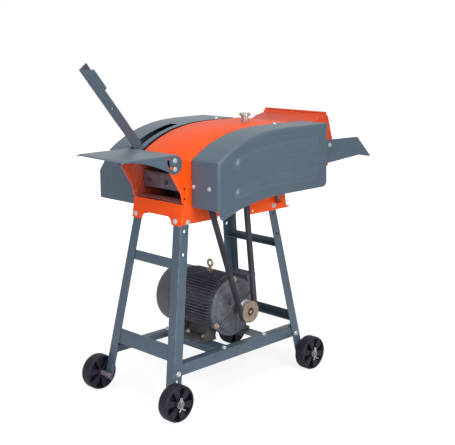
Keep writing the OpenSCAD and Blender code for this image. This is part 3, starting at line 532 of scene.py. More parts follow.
pins = bmesh.new()
washers = bmesh.new()
pin_wire = 1.3 * mm
pin_leg = ((1.2, 0, 12.5), (1.4, 0, 0), (1.6, 0, -8.5), (5, 1, -13.5), (11, 2, -17))
eye_r, eye_z = 3.2 * mm, 15 * mm
washer = oblong(7.05 * mm, 12 * mm, 0, 2 * mm)
for corner in corners:
    sign = -1 if corner.endswith("near") else 1
    low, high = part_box("wheel_" + corner)
    hub = (low + high) / 2
    face = low.y - 0.4 * mm if sign < 0 else high.y + 0.4 * mm
    ring = [(p.x, face + sign * p.y) for p in soft_corners(washer, 0.4 * mm, 2)]
    turned(washers, ring, hub.x, hub.z, n=40)
    y = face + sign * 3.6 * mm
    out = sign * 1.6 * mm
    for turn in (1, -1):
        leg = [Vector((hub.x + x * mm * turn, y + k * out, hub.z + z * mm)) for x, k, z in pin_leg]
        wire(pins, smooth_path(leg), pin_wire)
    turns = [k * math.pi / 8 for k in range(17)]
    eye = [Vector((hub.x + eye_r * math.sin(a), y, hub.z + eye_z - eye_r * math.cos(a))) for a in turns]
    wire(pins, eye, pin_wire)
add_piece("axle_split_pins", close_up("split_pins", pins), zinc, "frame", "axle_washers")
add_piece("axle_plain_washers", close_up("axle_washers", washers), axle_steel, "frame",
          "axle_washers")

# Body: two side plates, the sloping aprons at both ends, and the curved top sheet.
# Laser cut steel plate and sheet, welded and powder coated bright orange.
# Inside the mouth the plates are darkened by dust and painted shade, more the higher and the deeper one
# looks.
# The last colour is the dust and painted shade laid on the mouth's inner walls.
orange_paint = powder_coat("orange_powder", tone(230, 73, 2), tone(240, 84, 5), tone(250, 140, 80),
                           0.46, 0.06, 0.26, tone(126, 78, 74))
for node in ("apron_discharge", "apron_feed"):
    dress(node, orange_paint, 0.7 * mm)
# Inner faces darken with height and depth into the mouth: dust and painted shade under the flap.
dust_shade_low, dust_shade_high = 0.600, 0.680
dust_shade_front, dust_shade_back = -0.215, -0.160
for node, side in (("side_plate_near", -1), ("side_plate_far", 1)):
    plate = dress(node, orange_paint, 0.7 * mm)
    inside = plate.data.attributes.new("inside", "FLOAT", "CORNER")
    for face in plate.data.polygons:
        if face.normal.y * side > -0.5:
            continue
        for k in face.loop_indices:
            at = plate.data.vertices[plate.data.loops[k].vertex_index].co
            rise = (at.z - dust_shade_low) / (dust_shade_high - dust_shade_low)
            depth = (at.x - dust_shade_front) / (dust_shade_back - dust_shade_front)
            inside.data[k].value = min(1.0, max(0.0, 0.6 * rise) + max(0.0, 0.6 * depth))
dress("top_cover", orange_paint, 0.5 * mm, sharp=50)
dress("brackets", orange_paint, 0.6 * mm)

# Trough, throat floor and shear bar: the chute that the drum sweeps and the fixed knife it cuts against.
# Thin orange sheet inside the body, chaff dusted and darkened as painted shade, and a ground steel bar
# bolted across.
# The trough's orange is dark brown: dust and painted shade for the dim inside of the body.
shade_dusted_orange = powder_coat("shade_dusted_orange_powder", tone(118, 55, 54), tone(150, 73, 70),
                           tone(140, 100, 90), 0.66, 0.05)
for node in ("drum_concave", "throat_floor"):
    dress(node, shade_dusted_orange, 0.5 * mm, sharp=50)
bare_steel = bright_steel("ground_steel", tone(120, 116, 112), tone(172, 168, 162),
                          tone(112, 78, 52), 0.7, 0.3)
dress("shear_bar", bare_steel, 0.4 * mm)

# Cutting drum: hub, discs and seats welded up from plate, with four ground knives bolted on.
# The drum is left in dark oiled steel; the knives are paler, rubbed along the edges, stained by oil.


def oiled_iron(name, dark, light, stain, amount, rough, metal=0.55):
    """Rough dark iron: mottled, pitted, browned in patches."""
    made, shader, at = new_finish(name)
    mottle = at.noise(48.0, 6.0, 0.62)
    pits = at.noise(420.0, 3.0, 0.6)
    patch = at.noise(15.0, 5.0, 0.6).between(0.5, 0.72) * amount
    worn = at.marked("worn") * mottle.between(0.4, 0.65)
    base = mottle.between(0.3, 0.7).colours(dark, light)
    rubbed = (worn * 0.5).colours(base, tone(150, 148, 144))
    patch.colours(rubbed, stain).feeds(shader, "Base Color")
    (metal - worn * 0.3 * metal).feeds(shader, "Metallic")
    (rough + (mottle - 0.5) * 0.3 + patch * 0.15).feeds(shader, "Roughness")
    pits.raises(shader, 0.35, 0.6 * mm)
    return made


drum_iron = oiled_iron("oiled_drum_iron", tone(50, 46, 52), tone(80, 74, 80),
                       tone(88, 56, 44), 0.5, 0.5, 0.4)
dress("cutter_drum", drum_iron, 0.9 * mm)
knife_steel = oiled_iron("knife_steel", tone(88, 78, 90), tone(118, 108, 118),
                         tone(104, 78, 72), 0.3, 0.36, 0.4)
dress("knives", knife_steel, 0.5 * mm)
dress("knife_bolts", drum_iron, 0.5 * mm)

# Shafts, pinion, gears, rollers and swing arms: the drive and the feed inside the covers.
# Turned shafts and cut gears in bare greasy steel; fluted rollers and arms in rough cast iron.
gear_steel = bright_steel("greasy_gear_steel", tone(92, 88, 84), tone(140, 136, 130),
                          tone(70, 52, 34), 0.6, 0.34)
for node in ("main_shaft", "drive_pinion", "idler_gear", "idler_pin", "lever_pin", "arm_pins"):
    dress(node, gear_steel, 0.4 * mm)
cast_iron = oiled_iron("cast_iron", tone(46, 50, 54), tone(74, 78, 80), tone(92, 62, 42), 0.55, 0.55)
for node in ("lower_roller", "upper_roller", "roller_arms", "bearing_housings", "main_pulley"):
    dress(node, cast_iron, 0.7 * mm)

# Float springs: two drawn steel springs that pull the swing arms down.
# Wound wire with a straight tail at each end, stretched when a thick wad lifts the upper roller.
spring_wire = bright_steel("spring_wire", tone(104, 100, 96), tone(150, 146, 140),
                           tone(96, 66, 40), 0.6, 0.3)
low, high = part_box("float_springs")
coils, coil_steps, wire_r = 22, 20, 1.2 * mm
coil_r = (high.x - low.x) / 2 - wire_r
tail = 2.4 * mm
for sign, side in ((-1, "near"), (1, "far")):
    axis = Vector(((low.x + high.x) / 2, sign * (high.y - coil_r - wire_r), 0))
    rise = high.z - low.z - 2 * tail
    path = [axis + Vector((coil_r, 0, low.z)), axis + Vector((coil_r, 0, low.z + tail * 0.6))]
    for k in range(coils * coil_steps + 1):
        turn = 2 * math.pi * k / coil_steps
        path.append(axis + Vector((coil_r * math.cos(turn), coil_r * math.sin(turn),
                                   low.z + tail + rise * k / (coils * coil_steps))))
    path += [axis + Vector((coil_r, 0, high.z - tail * 0.6)), axis + Vector((coil_r, 0, high.z))]
    bm = bmesh.new()
    wire(bm, path, wire_r)
    mesh = close_up("float_spring_" + side, bm)
    spring = in_scene("float_spring_" + side, mesh)
    mesh.materials.append(spring_wire)
    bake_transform(spring)
    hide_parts("float_springs")

# Feed hood and tray: the flared mouth that guides the straw in, and the grey tray it is laid on.
# Folded sheet; the hood's front edge is rolled over a wire, the tray's far lip is turned over.
# The hood's orange is a darker copy of the body's orange: painted shade, as the hood sits in more shadow.
hood_shaded_paint = powder_coat("hood_shaded_orange_powder", tone(190, 58, 10), tone(203, 68, 14), tone(240, 130, 84),
                         0.46, 0.12, 0.35)
dress("feed_hood", hood_shaded_paint, 0.6 * mm, sharp=40)
dress("feed_tray", grey_paint, 0.6 * mm, sharp=40)

# Belt cover: one pressed steel sheet over the belt side, with rounded folds and two curved swages.
# The front face hangs lower at the discharge end; the swages stiffen it and follow its curved top.
low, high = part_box("belt_cover")
left, right, front, back = low.x, high.x, low.y, high.y
wall_foot = 0.548
sheet, fold, corner_fold = 2 * mm, 8 * mm, 3 * mm
top_drop, top_bend, top_run = 0.0735, 0.160, 0.310
foot_z, foot_drop, foot_bend, foot_run = 0.564, 0.039, 0.103, 0.231
tip_r, tip_z = 0.017, 0.581


def body_top(x, crest=high.z):
    """Height of the curved top at a place along the feed."""
    return crest - top_drop * (max(0.0, top_bend - x) / top_run) ** 3


def face_foot(x):
    """Lower edge of the belt cover's face."""
    return foot_z - foot_drop * (max(0.0, foot_bend - x) / foot_run) ** 2.34


def prism(bm, outline, y0, y1):
    """A closed block: an outline of (x, z) points carried from y0 to y1."""
    loft(bm, [[(x, y, z) for x, z in outline] for y in (y0, y1)])


steps = 44
run = [left + (right - left) * k / steps for k in range(steps + 1)]
tip_width = {"left": 26 * mm, "right": 20 * mm}
foot = [(x, face_foot(x)) for x in run if left + tip_width["left"] < x < right - tip_width["right"]]
left_tip = [(left, wall_foot), (left + 3 * mm, low.z + 12 * mm), (left + 9 * mm, low.z + 2.5 * mm),
            (left + 15 * mm, low.z), (left + 22 * mm, low.z + 1.2 * mm)]
right_tip = [(right - tip_r * (1 - math.sin(a)), tip_z - tip_r * math.cos(a))
             for a in (math.radians(18 * k) for k in range(6))]
outline = left_tip + foot + right_tip + [(x, body_top(x)) for x in run[::-1]]
bm = bmesh.new()
prism(bm, outline, front, back)
bmesh.ops.recalc_face_normals(bm, faces=bm.faces[:])
corner_edges = [e for e in creases(bm, 0.7) if abs(e.verts[0].co.x - e.verts[1].co.x) < 1e-6
                and abs(e.verts[0].co.z - e.verts[1].co.z) < 1e-6 and e.verts[0].co.z > tip_z + tip_r]
bevel(bm, corner_edges, corner_fold, 3)
rim = [e for e in bm.edges if all(abs(v.co.y - front) < 1e-6 for v in e.verts)
       and (min(v.co.z for v in e.verts) > tip_z - 0.5 * mm
            or all(abs(v.co.x - left) < 1e-5 for v in e.verts))]
bevel(bm, rim, fold, 5)
pitch = 4 * mm
for axis, start, stop in ((0, left, right), (2, low.z, high.z)):
    for k in range(1, int((stop - start) / pitch)):
        place = Vector((0, 0, 0))
        place[axis] = start + k * pitch
        normal = Vector((0, 0, 0))
        normal[axis] = 1
        faces = [f for f in bm.faces if f.normal.y < -0.98 and f.calc_center_median().y < front + 1 * mm]
        edges = dict.fromkeys(e for f in faces for e in f.edges)
        points = dict.fromkeys(v for f in faces for v in f.verts)
        parts = faces + list(edges) + list(points)
        bmesh.ops.bisect_plane(bm, geom=parts, dist=1e-6, plane_co=place, plane_no=normal)


def ease(value):
    """0 to 1 with a soft start and finish."""
    value = max(0.0, min(1.0, value))
    return value * value * (3 - 2 * value)


swage_rise, swage_soft = 6.0 * mm, 7 * mm
swages = ((0.691, 0.027, 18.5 * mm), (0.6105, 0.0245, 17.5 * mm))
swage_ends = (left + 60 * mm, right - 42 * mm)
swage_bend, swage_run = 0.100, 0.184
for vert in bm.verts:
    if abs(vert.co.y - front) > 1e-6:
        continue
    x, z = vert.co.x, vert.co.z
    for height, drop, half in swages:
        middle = height - drop * (max(0.0, swage_bend - x) / swage_run) ** 2.1
        past_end = max(0.0, swage_ends[0] + half - x, x - swage_ends[1] + half)
        vert.co.y -= swage_rise * ease((half - math.hypot(past_end, z - middle)) / swage_soft)
unwanted = []
for face in bm.faces:
    middle = face.calc_center_median()
    in_wall = middle.y > front + fold * 0.98
    if abs(face.normal.y) > 0.98 and middle.y > back - 1e-4:
        unwanted.append(face)
    elif in_wall and (face.normal.z < -0.2 or middle.z < wall_foot):
        unwanted.append(face)
bmesh.ops.delete(bm, geom=unwanted, context="FACES")


def give_thickness(piece, thickness):
    """Turns a bare skin into sheet metal, inwards from its face."""
    skin = piece.modifiers.new("sheet", "SOLIDIFY")
    skin.thickness = thickness
    skin.offset = -1
    plain_mesh(piece)


mesh = shaded("belt_cover", bm, 40)
belt_cover = add_piece("belt_cover_pressing", mesh, grey_paint, "frame", "belt_cover")
give_thickness(belt_cover, sheet)

# Gear cover: the far side's folded sheet box, wider below where the gears stand out.
# It has a long slot in its top that the feed lever sweeps along.
low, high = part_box("gear_cover")
lever_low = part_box("feed_lever")[0]
upper_face = 0.243
shoulder = (0.607, 0.672)
bulge_end = 0.200


def block(name, bm):
    """A helper solid for joining or cutting."""
    bmesh.ops.recalc_face_normals(bm, faces=bm.faces[:])
    mesh = bpy.data.meshes.new(name)
    bm.to_mesh(mesh)
    bm.free()
    return in_scene(name, mesh)


def cut(piece, tool, how="DIFFERENCE"):
    """Joins a helper solid to a piece, or cuts it away."""
    work = piece.modifiers.new("cut", "BOOLEAN")
    work.operation = how
    work.solver = "EXACT"
    work.object = tool
    plain_mesh(piece)
    bpy.data.objects.remove(tool)


def reopened(piece):
    """A helper's mesh, open for more work; the helper itself goes."""
    bm = bmesh.new()
    bm.from_mesh(piece.data)
    bpy.data.objects.remove(piece)
    return bm


bm = bmesh.new()
run = [low.x + (high.x - low.x) * k / steps for k in range(steps + 1)]
outline = [(low.x, low.z), (high.x, low.z)] + [(x, body_top(x, high.z)) for x in run[::-1]]
prism(bm, outline, low.y, upper_face)
shell = block("gear_cover_block", bm)
bm = bmesh.new()
lap = upper_face - 8 * mm
section = [(lap, low.z), (high.y, low.z), (high.y, shoulder[0]), (upper_face, shoulder[1]),
           (lap, shoulder[1])]
loft(bm, [[(x, y, z) for y, z in section] for x in (low.x, bulge_end)])
cut(shell, block("gear_cover_bulge", bm), "UNION")
bm = reopened(shell)
merge_flats(bm, 1e-5, 0.05)
bmesh.ops.recalc_face_normals(bm, faces=bm.faces[:])
folds = [e for e in creases(bm, 0.3) if not all(v.co.z < low.z + 1e-4 for v in e.verts)
         and not all(v.co.y < low.y + 1e-4 for v in e.verts)]
bevel(bm, folds, 6 * mm, 4, clamp=True)
open_faces = [f for f in bm.faces if (f.normal.z < -0.9 and f.calc_center_median().z < low.z + 1e-3)
              or (f.normal.y < -0.9 and f.calc_center_median().y < low.y + 1e-3)]
bmesh.ops.delete(bm, geom=open_faces, context="FACES")
slot_y = (lever_low.y - 4 * mm, lever_low.y + 28 * mm)
slot_end, slot_foot = 0.017, 0.640
slot_planes = (((slot_end, 0, 0), (1, 0, 0)), ((0, slot_y[0], 0), (0, 1, 0)),
               ((0, slot_y[1], 0), (0, 1, 0)), ((0, 0, slot_foot), (0, 0, 1)))
for place, normal in slot_planes:
    parts = bm.verts[:] + bm.edges[:] + bm.faces[:]
    bmesh.ops.bisect_plane(bm, geom=parts, dist=1e-6, plane_co=place, plane_no=normal)
middles = [(f, f.calc_center_median()) for f in bm.faces]
in_slot = [f for f, c in middles if c.x < slot_end and slot_y[0] < c.y < slot_y[1] and c.z > slot_foot]
bmesh.ops.delete(bm, geom=in_slot, context="FACES")
mesh = shaded("gear_cover", bm, 40)
gear_cover = add_piece("gear_cover_pressing", mesh, grey_paint, "frame", "gear_cover")
thin_sheet = 1.2 * mm
give_thickness(gear_cover, thin_sheet)

# Feed lever: a flat bar on a pin behind the body, with a welded tab near its end for the hand.
# It throws the feed rollers in and out; a thin dark slanted plate on its end is painted shade.
pin = Vector((-0.0878, lever_low.y, 0.637))
lean, reach, half, thick = math.radians(39), 0.358, 14 * mm, 6 * mm


def holed_plate(bm, outline, holes, y0, y1, easing):
    """A flat plate between y0 and y1 with round holes of (x, z, radius); its outer edges are eased."""
    middle = [sum(p[i] for p in outline) / len(outline) for i in (0, 1)]
    inner = []
    for x, z in outline:
        away = Vector((x - middle[0], z - middle[1]))
        inner.append((x - easing * (1 if away.x > 0 else -1), z - easing * (1 if away.y > 0 else -1)))
    rounds = [circle((x, z), radius, 24) for x, z, radius in holes]
    faces = []
    for y, deep in ((y0, y0 + easing), (y1, y1 - easing)):
        rims = [[bm.verts.new((x, y, z)) for x, z in ring] for ring in [inner] + rounds]
        edges = [bm.edges.new((rim[k], rim[(k + 1) % len(rim)])) for rim in rims for k in range(len(rim))]
        bmesh.ops.triangle_fill(bm, use_beauty=True, use_dissolve=False, edges=edges)
        outer = [bm.verts.new((x, deep, z)) for x, z in outline]
        faces.append((rims, outer))
    (near_rims, near_outer), (far_rims, far_outer) = faces
    pairs = [(near_rims[0], near_outer), (near_outer, far_outer), (far_outer, far_rims[0])]
    for pair in pairs + list(zip(near_rims[1:], far_rims[1:])):
        skirt(bm, pair)


bar = [polar((0, 0), half, math.radians(180 + 15 * k)) for k in range(13)]
bar += [(half, reach), (-half, reach)]
tab = [(half - 4 * mm, reach - 96 * mm), (half + 8.5 * mm, reach - 94 * mm),
       (half + 8.5 * mm, reach - 30 * mm), (half + 5 * mm, reach - 26 * mm),
       (half - 4 * mm, reach - 26 * mm)]
bm = bmesh.new()
pin_hole, small_hole, small_hole_drop = 6.06 * mm, 3.4 * mm, 150 * mm
holed_plate(bm, bar, [(0, 0, pin_hole), (0, reach - small_hole_drop, small_hole)], 0, thick, 0.6 * mm)
holed_plate(bm, tab, [], 0.5 * mm, 3 * mm, 0.4 * mm)
stance = Matrix.Translation(pin) @ Matrix.Rotation(-lean, 4, "Y")
bmesh.ops.transform(bm, matrix=stance, verts=bm.verts[:])
add_piece("feed_lever_bar", close_up("feed_lever", bm), grey_paint, "lever", "feed_lever")
tip = bmesh.new()
slant_end = [(-half + 0.6 * mm, reach - 0.4 * mm), (half - 1.2 * mm, reach - 19 * mm),
             (half - 0.4 * mm, reach - 3 * mm), (half - 2.4 * mm, reach - 0.4 * mm)]
prism(tip, slant_end, -0.35 * mm, 0.5 * mm)
bmesh.ops.transform(tip, matrix=stance, verts=tip.verts[:])
# A dark slanted plate on the lever's end: painted shade for the shadowed end, not bare metal.
shade_dark_end = oiled_iron("painted_shade_lever_end", tone(58, 52, 64), tone(84, 76, 90),
                      tone(92, 74, 70), 0.3, 0.5, 0.3)
add_piece("feed_lever_end", close_up("feed_lever_end", tip), shade_dark_end, "lever", "feed_lever")

# Discharge flap: one bent sheet with a cheek at each side, hinged on two bolts.
# Its sheet is slightly crowned, its free edge is cut on a slant and turned down, and a curved slot in
# each cheek lets it be set and locked.
low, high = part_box("discharge_flap")
flap_top, flap_half = high.z, high.y
hinge = Vector((-0.2106, 0, 0.6787))
ear = Vector((-0.211, 0, flap_top - 0.025))
ear_r = 0.025
fold = 5 * mm
sheet_end, cheek_bend = -0.199, -0.2215
tip_depth, cheek_drop = 0.0035, 0.0442
slant, sink = 17 * mm, 1.6 * mm
crown_rise, lip_drop, lip_steep = 1.6 * mm, 3.0 * mm, 26


def cheek_foot(x):
    """Depth of the cheek's lower edge under the flap's top."""
    if x > cheek_bend:
        return flap_top - ear.z + math.sqrt(max(0.0, ear_r ** 2 - (x - ear.x) ** 2))
    return tip_depth + cheek_drop * max(0.0, (x - low.x) / (cheek_bend - low.x)) ** 1.9


def flap_section(x):
    """Points across the flap at one place along it, from the near cheek's foot to the far one's."""
    deep = max(cheek_foot(x), fold + 0.2 * mm)
    half = flap_half - 0.1 * mm
    made = [(-half, -deep + (deep - fold) * k / 5) for k in range(5)]
    bend = [math.radians(15 * k) for k in range(7)]
    made += [(-half + fold * (1 - math.cos(a)), -fold + fold * math.sin(a)) for a in bend]
    flat = half - fold
    made += [(-flat + 2 * flat * k / 14, 0) for k in range(1, 14)]
    return made + [(-y, z) for y, z in made[11::-1]]


places = 48
bm = bmesh.new()
rows = []
for i in range(places + 1):
    share = i / places
    row = []
    x0 = low.x + (sheet_end - low.x) * share
    for y, z in flap_section(x0):
        x = x0 + slant * (1 - share) * (y + flap_half) / (2 * flap_half)
        crown = crown_rise * (1 - (y / flap_half) ** 2) * math.sin(math.pi * share)
        lip = -lip_drop * max(0.0, 1 - share * lip_steep)
        row.append(bm.verts.new((x, y, flap_top + z + (crown if z > -1e-6 else 0) + lip - sink)))
    rows.append(row)
skin(bm, rows)
for sign in (-1, 1):
    strip = []
    for k in range(13):
        x = sheet_end + (ear.x + ear_r - sheet_end) * math.sin(math.pi / 2 * k / 12)
        reach = math.sqrt(max(0.0, ear_r ** 2 - (x - ear.x) ** 2))
        top = min(ear.z + reach, flap_top - fold - sink)
        foot = ear.z - reach - (sink if k == 0 else 0)
        heights = [foot + (top - foot) * j / 5 for j in range(6)]
        strip.append([bm.verts.new((x, sign * (flap_half - 0.1 * mm), z)) for z in heights])
    skin(bm, strip)
bmesh.ops.remove_doubles(bm, verts=bm.verts[:], dist=2e-4)
bmesh.ops.dissolve_degenerate(bm, dist=1e-5, edges=bm.edges[:])
bmesh.ops.recalc_face_normals(bm, faces=bm.faces[:])
if max(bm.faces, key=lambda f: f.calc_center_median().z).normal.z < 0:
    bmesh.ops.reverse_faces(bm, faces=bm.faces[:])
mesh = shaded("discharge_flap", bm, 50)
flap = in_scene("discharge_flap_sheet", mesh)
give_thickness(flap, thin_sheet)
slot_r, slot_half = 22.4 * mm, 3.6 * mm
slot_first, slot_sweep = 164, 112
turns = [math.radians(slot_first + slot_sweep * k / 12) for k in range(13)]
pivot = (hinge.x, hinge.z)
outer_side = [polar(pivot, slot_r + slot_half, a) for a in turns]
inner_side = [polar(pivot, slot_r - slot_half, a) for a in turns[::-1]]
cap_turns = [math.pi * k / 6 for k in range(1, 6)]
low_cap = [polar(polar(pivot, slot_r, turns[-1]), slot_half, turns[-1] + a) for a in cap_turns]
high_cap = [polar(polar(pivot, slot_r, turns[0]), -slot_half, turns[0] + a) for a in cap_turns]
bm = bmesh.new()
prism(bm, outer_side + low_cap + inner_side + high_cap, -2 * flap_half, 2 * flap_half)
cut(flap, block("flap_slot", bm))
bm = reopened(flap)
bmesh.ops.remove_doubles(bm, verts=bm.verts[:], dist=1e-6)
mesh = shaded("discharge_flap", bm, 50)
add_piece("discharge_flap_sheet", mesh, grey_paint, "flap", "discharge_flap")

# Motor frame: a grey iron casting with cooling fins along its back and sides and two feet.
# The feet are cast brackets bolted to the rails, browned with rust; the rest is dark grey enamel.
motor_iron = oiled_iron("motor_enamel", tone(68, 72, 84), tone(98, 102, 114),
                        tone(98, 88, 80), 0.35, 0.46, 0.2)
low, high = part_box("motor_frame")
motor = Vector((0.035, 0, 0.226))
core_r, fin_r = 82 * mm, 92 * mm
barrel = (-62 * mm, 104 * mm)
bm = bmesh.new()
bore_r, lip_r = 74 * mm, core_r + 2 * mm
drum = [(bore_r, barrel[0]), (lip_r, barrel[0]), (lip_r, barrel[0] + 7 * mm), (core_r, barrel[0] + 9 * mm),
        (core_r, barrel[1] - 9 * mm), (lip_r, barrel[1] - 7 * mm), (lip_r, barrel[1]), (bore_r, barrel[1])]
turned(bm, soft_corners(drum, 1.5 * mm, 3), motor.x, motor.z, n=120)
barrel_mesh = close_up("motor_barrel", bm)
fin = bmesh.new()
root, tip = 1.9 * mm, 1.0 * mm
loft(fin, (rib_end(core_r - 2 * mm, barrel[0] + 2 * mm, barrel[1] - 2 * mm, root),
           rib_end(fin_r, barrel[0] + 6 * mm, barrel[1] - 6 * mm, tip)))
round_over(fin, 0.9 * mm)
fin_mesh = close_up("cooling_fin", fin)
fin_runs, fin_turn = ((-68, 25), (-330, 4)), math.radians(-6)
fins = [round_shaft("cooling_fins", fin_mesh, count, math.radians(first), fin_turn, motor, motor_iron)
        for first, count in fin_runs]
foot_iron = oiled_iron("rusty_foot_iron", tone(60, 66, 66), tone(88, 92, 90),
                       tone(112, 84, 64), 0.55, 0.55, 0.2)
foot_z = low.z
feet = bmesh.new()


def rod(bm, sides, radius, length, stance, top=None):
    """A closed rod or cone along Z, moved and turned by its stance."""
    bmesh.ops.create_cone(bm, cap_ends=True, segments=sides, radius1=radius, radius2=top or radius,
                          depth=length, matrix=stance)


foot_hole_x, foot_hole_y = 69, (-22, 46)


def along(sign, x):
    """A place out along one foot, from the motor's middle."""
    return motor.x + sign * x * mm


for sign in (-1, 1):
    bm = bmesh.new()
    prism(bm, oblong(along(sign, 42), along(sign, 98), foot_z, foot_z + 9 * mm), -46 * mm, 68 * mm)
    round_over(bm, 2 * mm)
    plate = block("foot_plate", bm)
    for y in foot_hole_y:
        bm = bmesh.new()
        rod(bm, 32, 5 * mm, 40 * mm, Matrix.Translation((along(sign, foot_hole_x), y * mm, foot_z)))
        cut(plate, block("foot_hole", bm))
    feet.from_mesh(plate.data)
    bpy.data.objects.remove(plate)
    gusset = [(along(sign, 45), foot_z + 4 * mm), (along(sign, 92), foot_z + 4 * mm),
              (along(sign, 66), motor.z - 46 * mm), (along(sign, 38), motor.z - 60 * mm)]
    middle = [(along(sign, 46), foot_z + 4 * mm), (along(sign, 56), foot_z + 4 * mm),
              (along(sign, 51), motor.z - 59 * mm), (along(sign, 39), motor.z - 61 * mm)]
    for outline, y0, y1 in ((gusset, -45, -37), (gusset, 59, 67), (middle, -38, 60)):
        web = bmesh.new()
        prism(web, outline, y0 * mm, y1 * mm)
        round_over(web, 2 * mm)
        feet.from_mesh(close_up("foot_web", web))
add_piece("motor_feet_casting", close_up("motor_feet", feet), foot_iron, "frame",
          "motor_frame")
bm = bmesh.new()
eye_pad = Matrix.Translation((motor.x, 22 * mm, motor.z + 82.2 * mm))
rod(bm, 40, 15 * mm, 20 * mm, eye_pad, top=11.5 * mm)
box_pad = Matrix.Translation((motor.x + 72 * mm, -3 * mm, motor.z + 35 * mm))
bmesh.ops.create_cube(bm, size=1, matrix=box_pad @ Matrix.Diagonal((24 * mm, 82 * mm, 54 * mm, 1)))
round_over(bm, 2 * mm)
pads = close_up("motor_pads", bm)
add_piece("motor_frame_casting", joined("motor_frame", barrel_mesh, *fins, pads), motor_iron,
          "frame", "motor_frame")

# Motor end bell: a dished iron casting spigoted into the frame, held by three bolts in its ears.
# Its face steps in to a bearing boss, with shallow ribs between.
bell_y = barrel[0]
shaft_hole = 12.4
bell_steps = ((shaft_hole, -2), (68, -2), (86, 0), (86, 9), (80, 12), (77, 12.5), (73, 19), (60, 24),
              (33, 27), (30, 32), (24, 34), (shaft_hole, 34))
face = [(radius * mm, bell_y - out * mm) for radius, out in bell_steps]
bm = bmesh.new()
turned(bm, soft_corners(face, 2.2 * mm, 3), motor.x, motor.z, n=120)
rear = oblong(shaft_hole * mm, 88 * mm, barrel[1], barrel[1] + 6 * mm)
turned(bm, soft_corners(rear, 1.2 * mm, 3), motor.x, motor.z, n=120)
bell_mesh = close_up("end_bell", bm)
rib = bmesh.new()
loft(rib, (rib_end(31 * mm, bell_y - 26 * mm, bell_y - 20 * mm, 2.6 * mm),
           rib_end(72 * mm, bell_y - 23 * mm, bell_y - 14 * mm, 2.2 * mm)))
for vert in rib.verts:
    if vert.co.y < bell_y - 21 * mm:
        vert.co.y -= 3.2 * mm
round_over(rib, 1.4 * mm)
ribs = round_shaft("bell_ribs", close_up("bell_rib", rib), 6, math.radians(30), math.radians(60), motor,
                   motor_iron)
lug = bmesh.new()
lug_r, lug_first, lug_turn = 82 * mm, math.radians(-90), math.radians(120)
boss = soft_corners(oblong(0, 11 * mm, bell_y, bell_y - 14 * mm), 2 * mm, 3, closed=False)
turned(lug, boss, lug_r, 0, closed=False, n=32)
lugs = round_shaft("bell_lugs", close_up("bell_lug", lug), 3, lug_first, lug_turn, motor, motor_iron)
bell_iron = oiled_iron("bell_enamel", tone(66, 70, 80), tone(104, 109, 118),
                       tone(104, 94, 84), 0.4, 0.46, 0.2)
add_piece("motor_end_bell_casting", joined("motor_end_bell", bell_mesh, ribs, lugs), bell_iron,
          "frame", "motor_end_bell")
tan_bolt = bright_steel("tan_plate", tone(150, 128, 108), tone(206, 184, 160),
                        tone(110, 78, 52), 0.6, 0.3)
lying = Matrix.Rotation(math.pi / 2, 4, "X")
hex_head = bmesh.new()
for radius, sides, y0, y1 in ((9 * mm, 32, 14, 15.5), (6.5 * mm, 6, 15.5, 20), (3.6 * mm, 24, 20, 22.5)):
    middle = Matrix.Translation((lug_r, bell_y - (y0 + y1) / 2 * mm, 0))
    rod(hex_head, sides, radius, (y1 - y0) * mm, middle @ lying)
round_over(hex_head, 0.5 * mm)
heads = round_shaft("bell_bolts", close_up("bell_bolt", hex_head), 3, lug_first, lug_turn, motor, tan_bolt)
add_piece("motor_end_bell_bolts", heads, tan_bolt, "frame", "motor_end_bell")

# Fan cover: a drawn sheet cap over the motor's fan, with a ring of air holes in its end.
# Thin steel with a soft shoulder, in the same dark enamel but smoother than the castings.
cap_paint = powder_coat("dark_enamel", tone(80, 80, 92), tone(94, 94, 106), tone(128, 128, 134), 0.45)
low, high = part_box("motor_fan_cover")
cap_r = (high.z - low.z) / 2
rim_y, end_y = low.y, high.y
shoulder_r = 14 * mm
outer = [(cap_r, rim_y)]
outer += [(cap_r - shoulder_r * (1 - math.cos(a)), end_y - shoulder_r + shoulder_r * math.sin(a))
          for a in (math.radians(11.25 * k) for k in range(9))]
outer += [(16 * mm, end_y), (14 * mm, end_y - 2 * mm), (0, end_y - 2 * mm)]
inner = [(max(r - sheet, 0), y - (sheet if y > rim_y + 1 * mm else 0)) for r, y in outer]
bm = bmesh.new()
turned(bm, outer + inner[::-1], motor.x, motor.z, n=120)
cap = in_scene("fan_cover", close_up("fan_cover", bm, 40))
hole = bmesh.new()
rod(hole, 20, 4.6 * mm, 30 * mm, Matrix.Translation((0, end_y, 0)) @ lying)
hole_mesh = bpy.data.meshes.new("air_hole")
hole.to_mesh(hole_mesh)
hole.free()
tools = bmesh.new()
for ring_r, count in ((26 * mm, 10), (40 * mm, 16), (54 * mm, 22), (67 * mm, 28)):
    moved = hole_mesh.copy()
    moved.transform(Matrix.Translation((ring_r, 0, 0)))
    tools.from_mesh(round_shaft("air_holes", moved, count, 0.0, 2 * math.pi / count, motor, cap_paint))
cut(cap, block("air_holes", tools))
add_piece("motor_fan_cover_cap", close_up("fan_cover", reopened(cap), 40), cap_paint, "frame",
          "motor_fan_cover")

# Terminal box and lifting eye: a cast box with a screwed lid, and a forged eye screwed in on top.
# The eye is plated steel gone yellow and brown.
dress("terminal_box", motor_iron, 2.0 * mm)
eye_metal = bright_steel("yellowed_plate", tone(128, 116, 88), tone(188, 178, 146),
                         tone(92, 62, 36), 0.75, 0.28)
dress("motor_eyebolt", eye_metal, 0.5 * mm)
dress("motor_shaft", gear_steel, 0.5 * mm)

# Motor pulley: a turned iron pulley with one vee groove, held by a screw and washer in its sunk bore.
# Its face is bare metal gone tan; the groove and the back are kept bright by the belt.


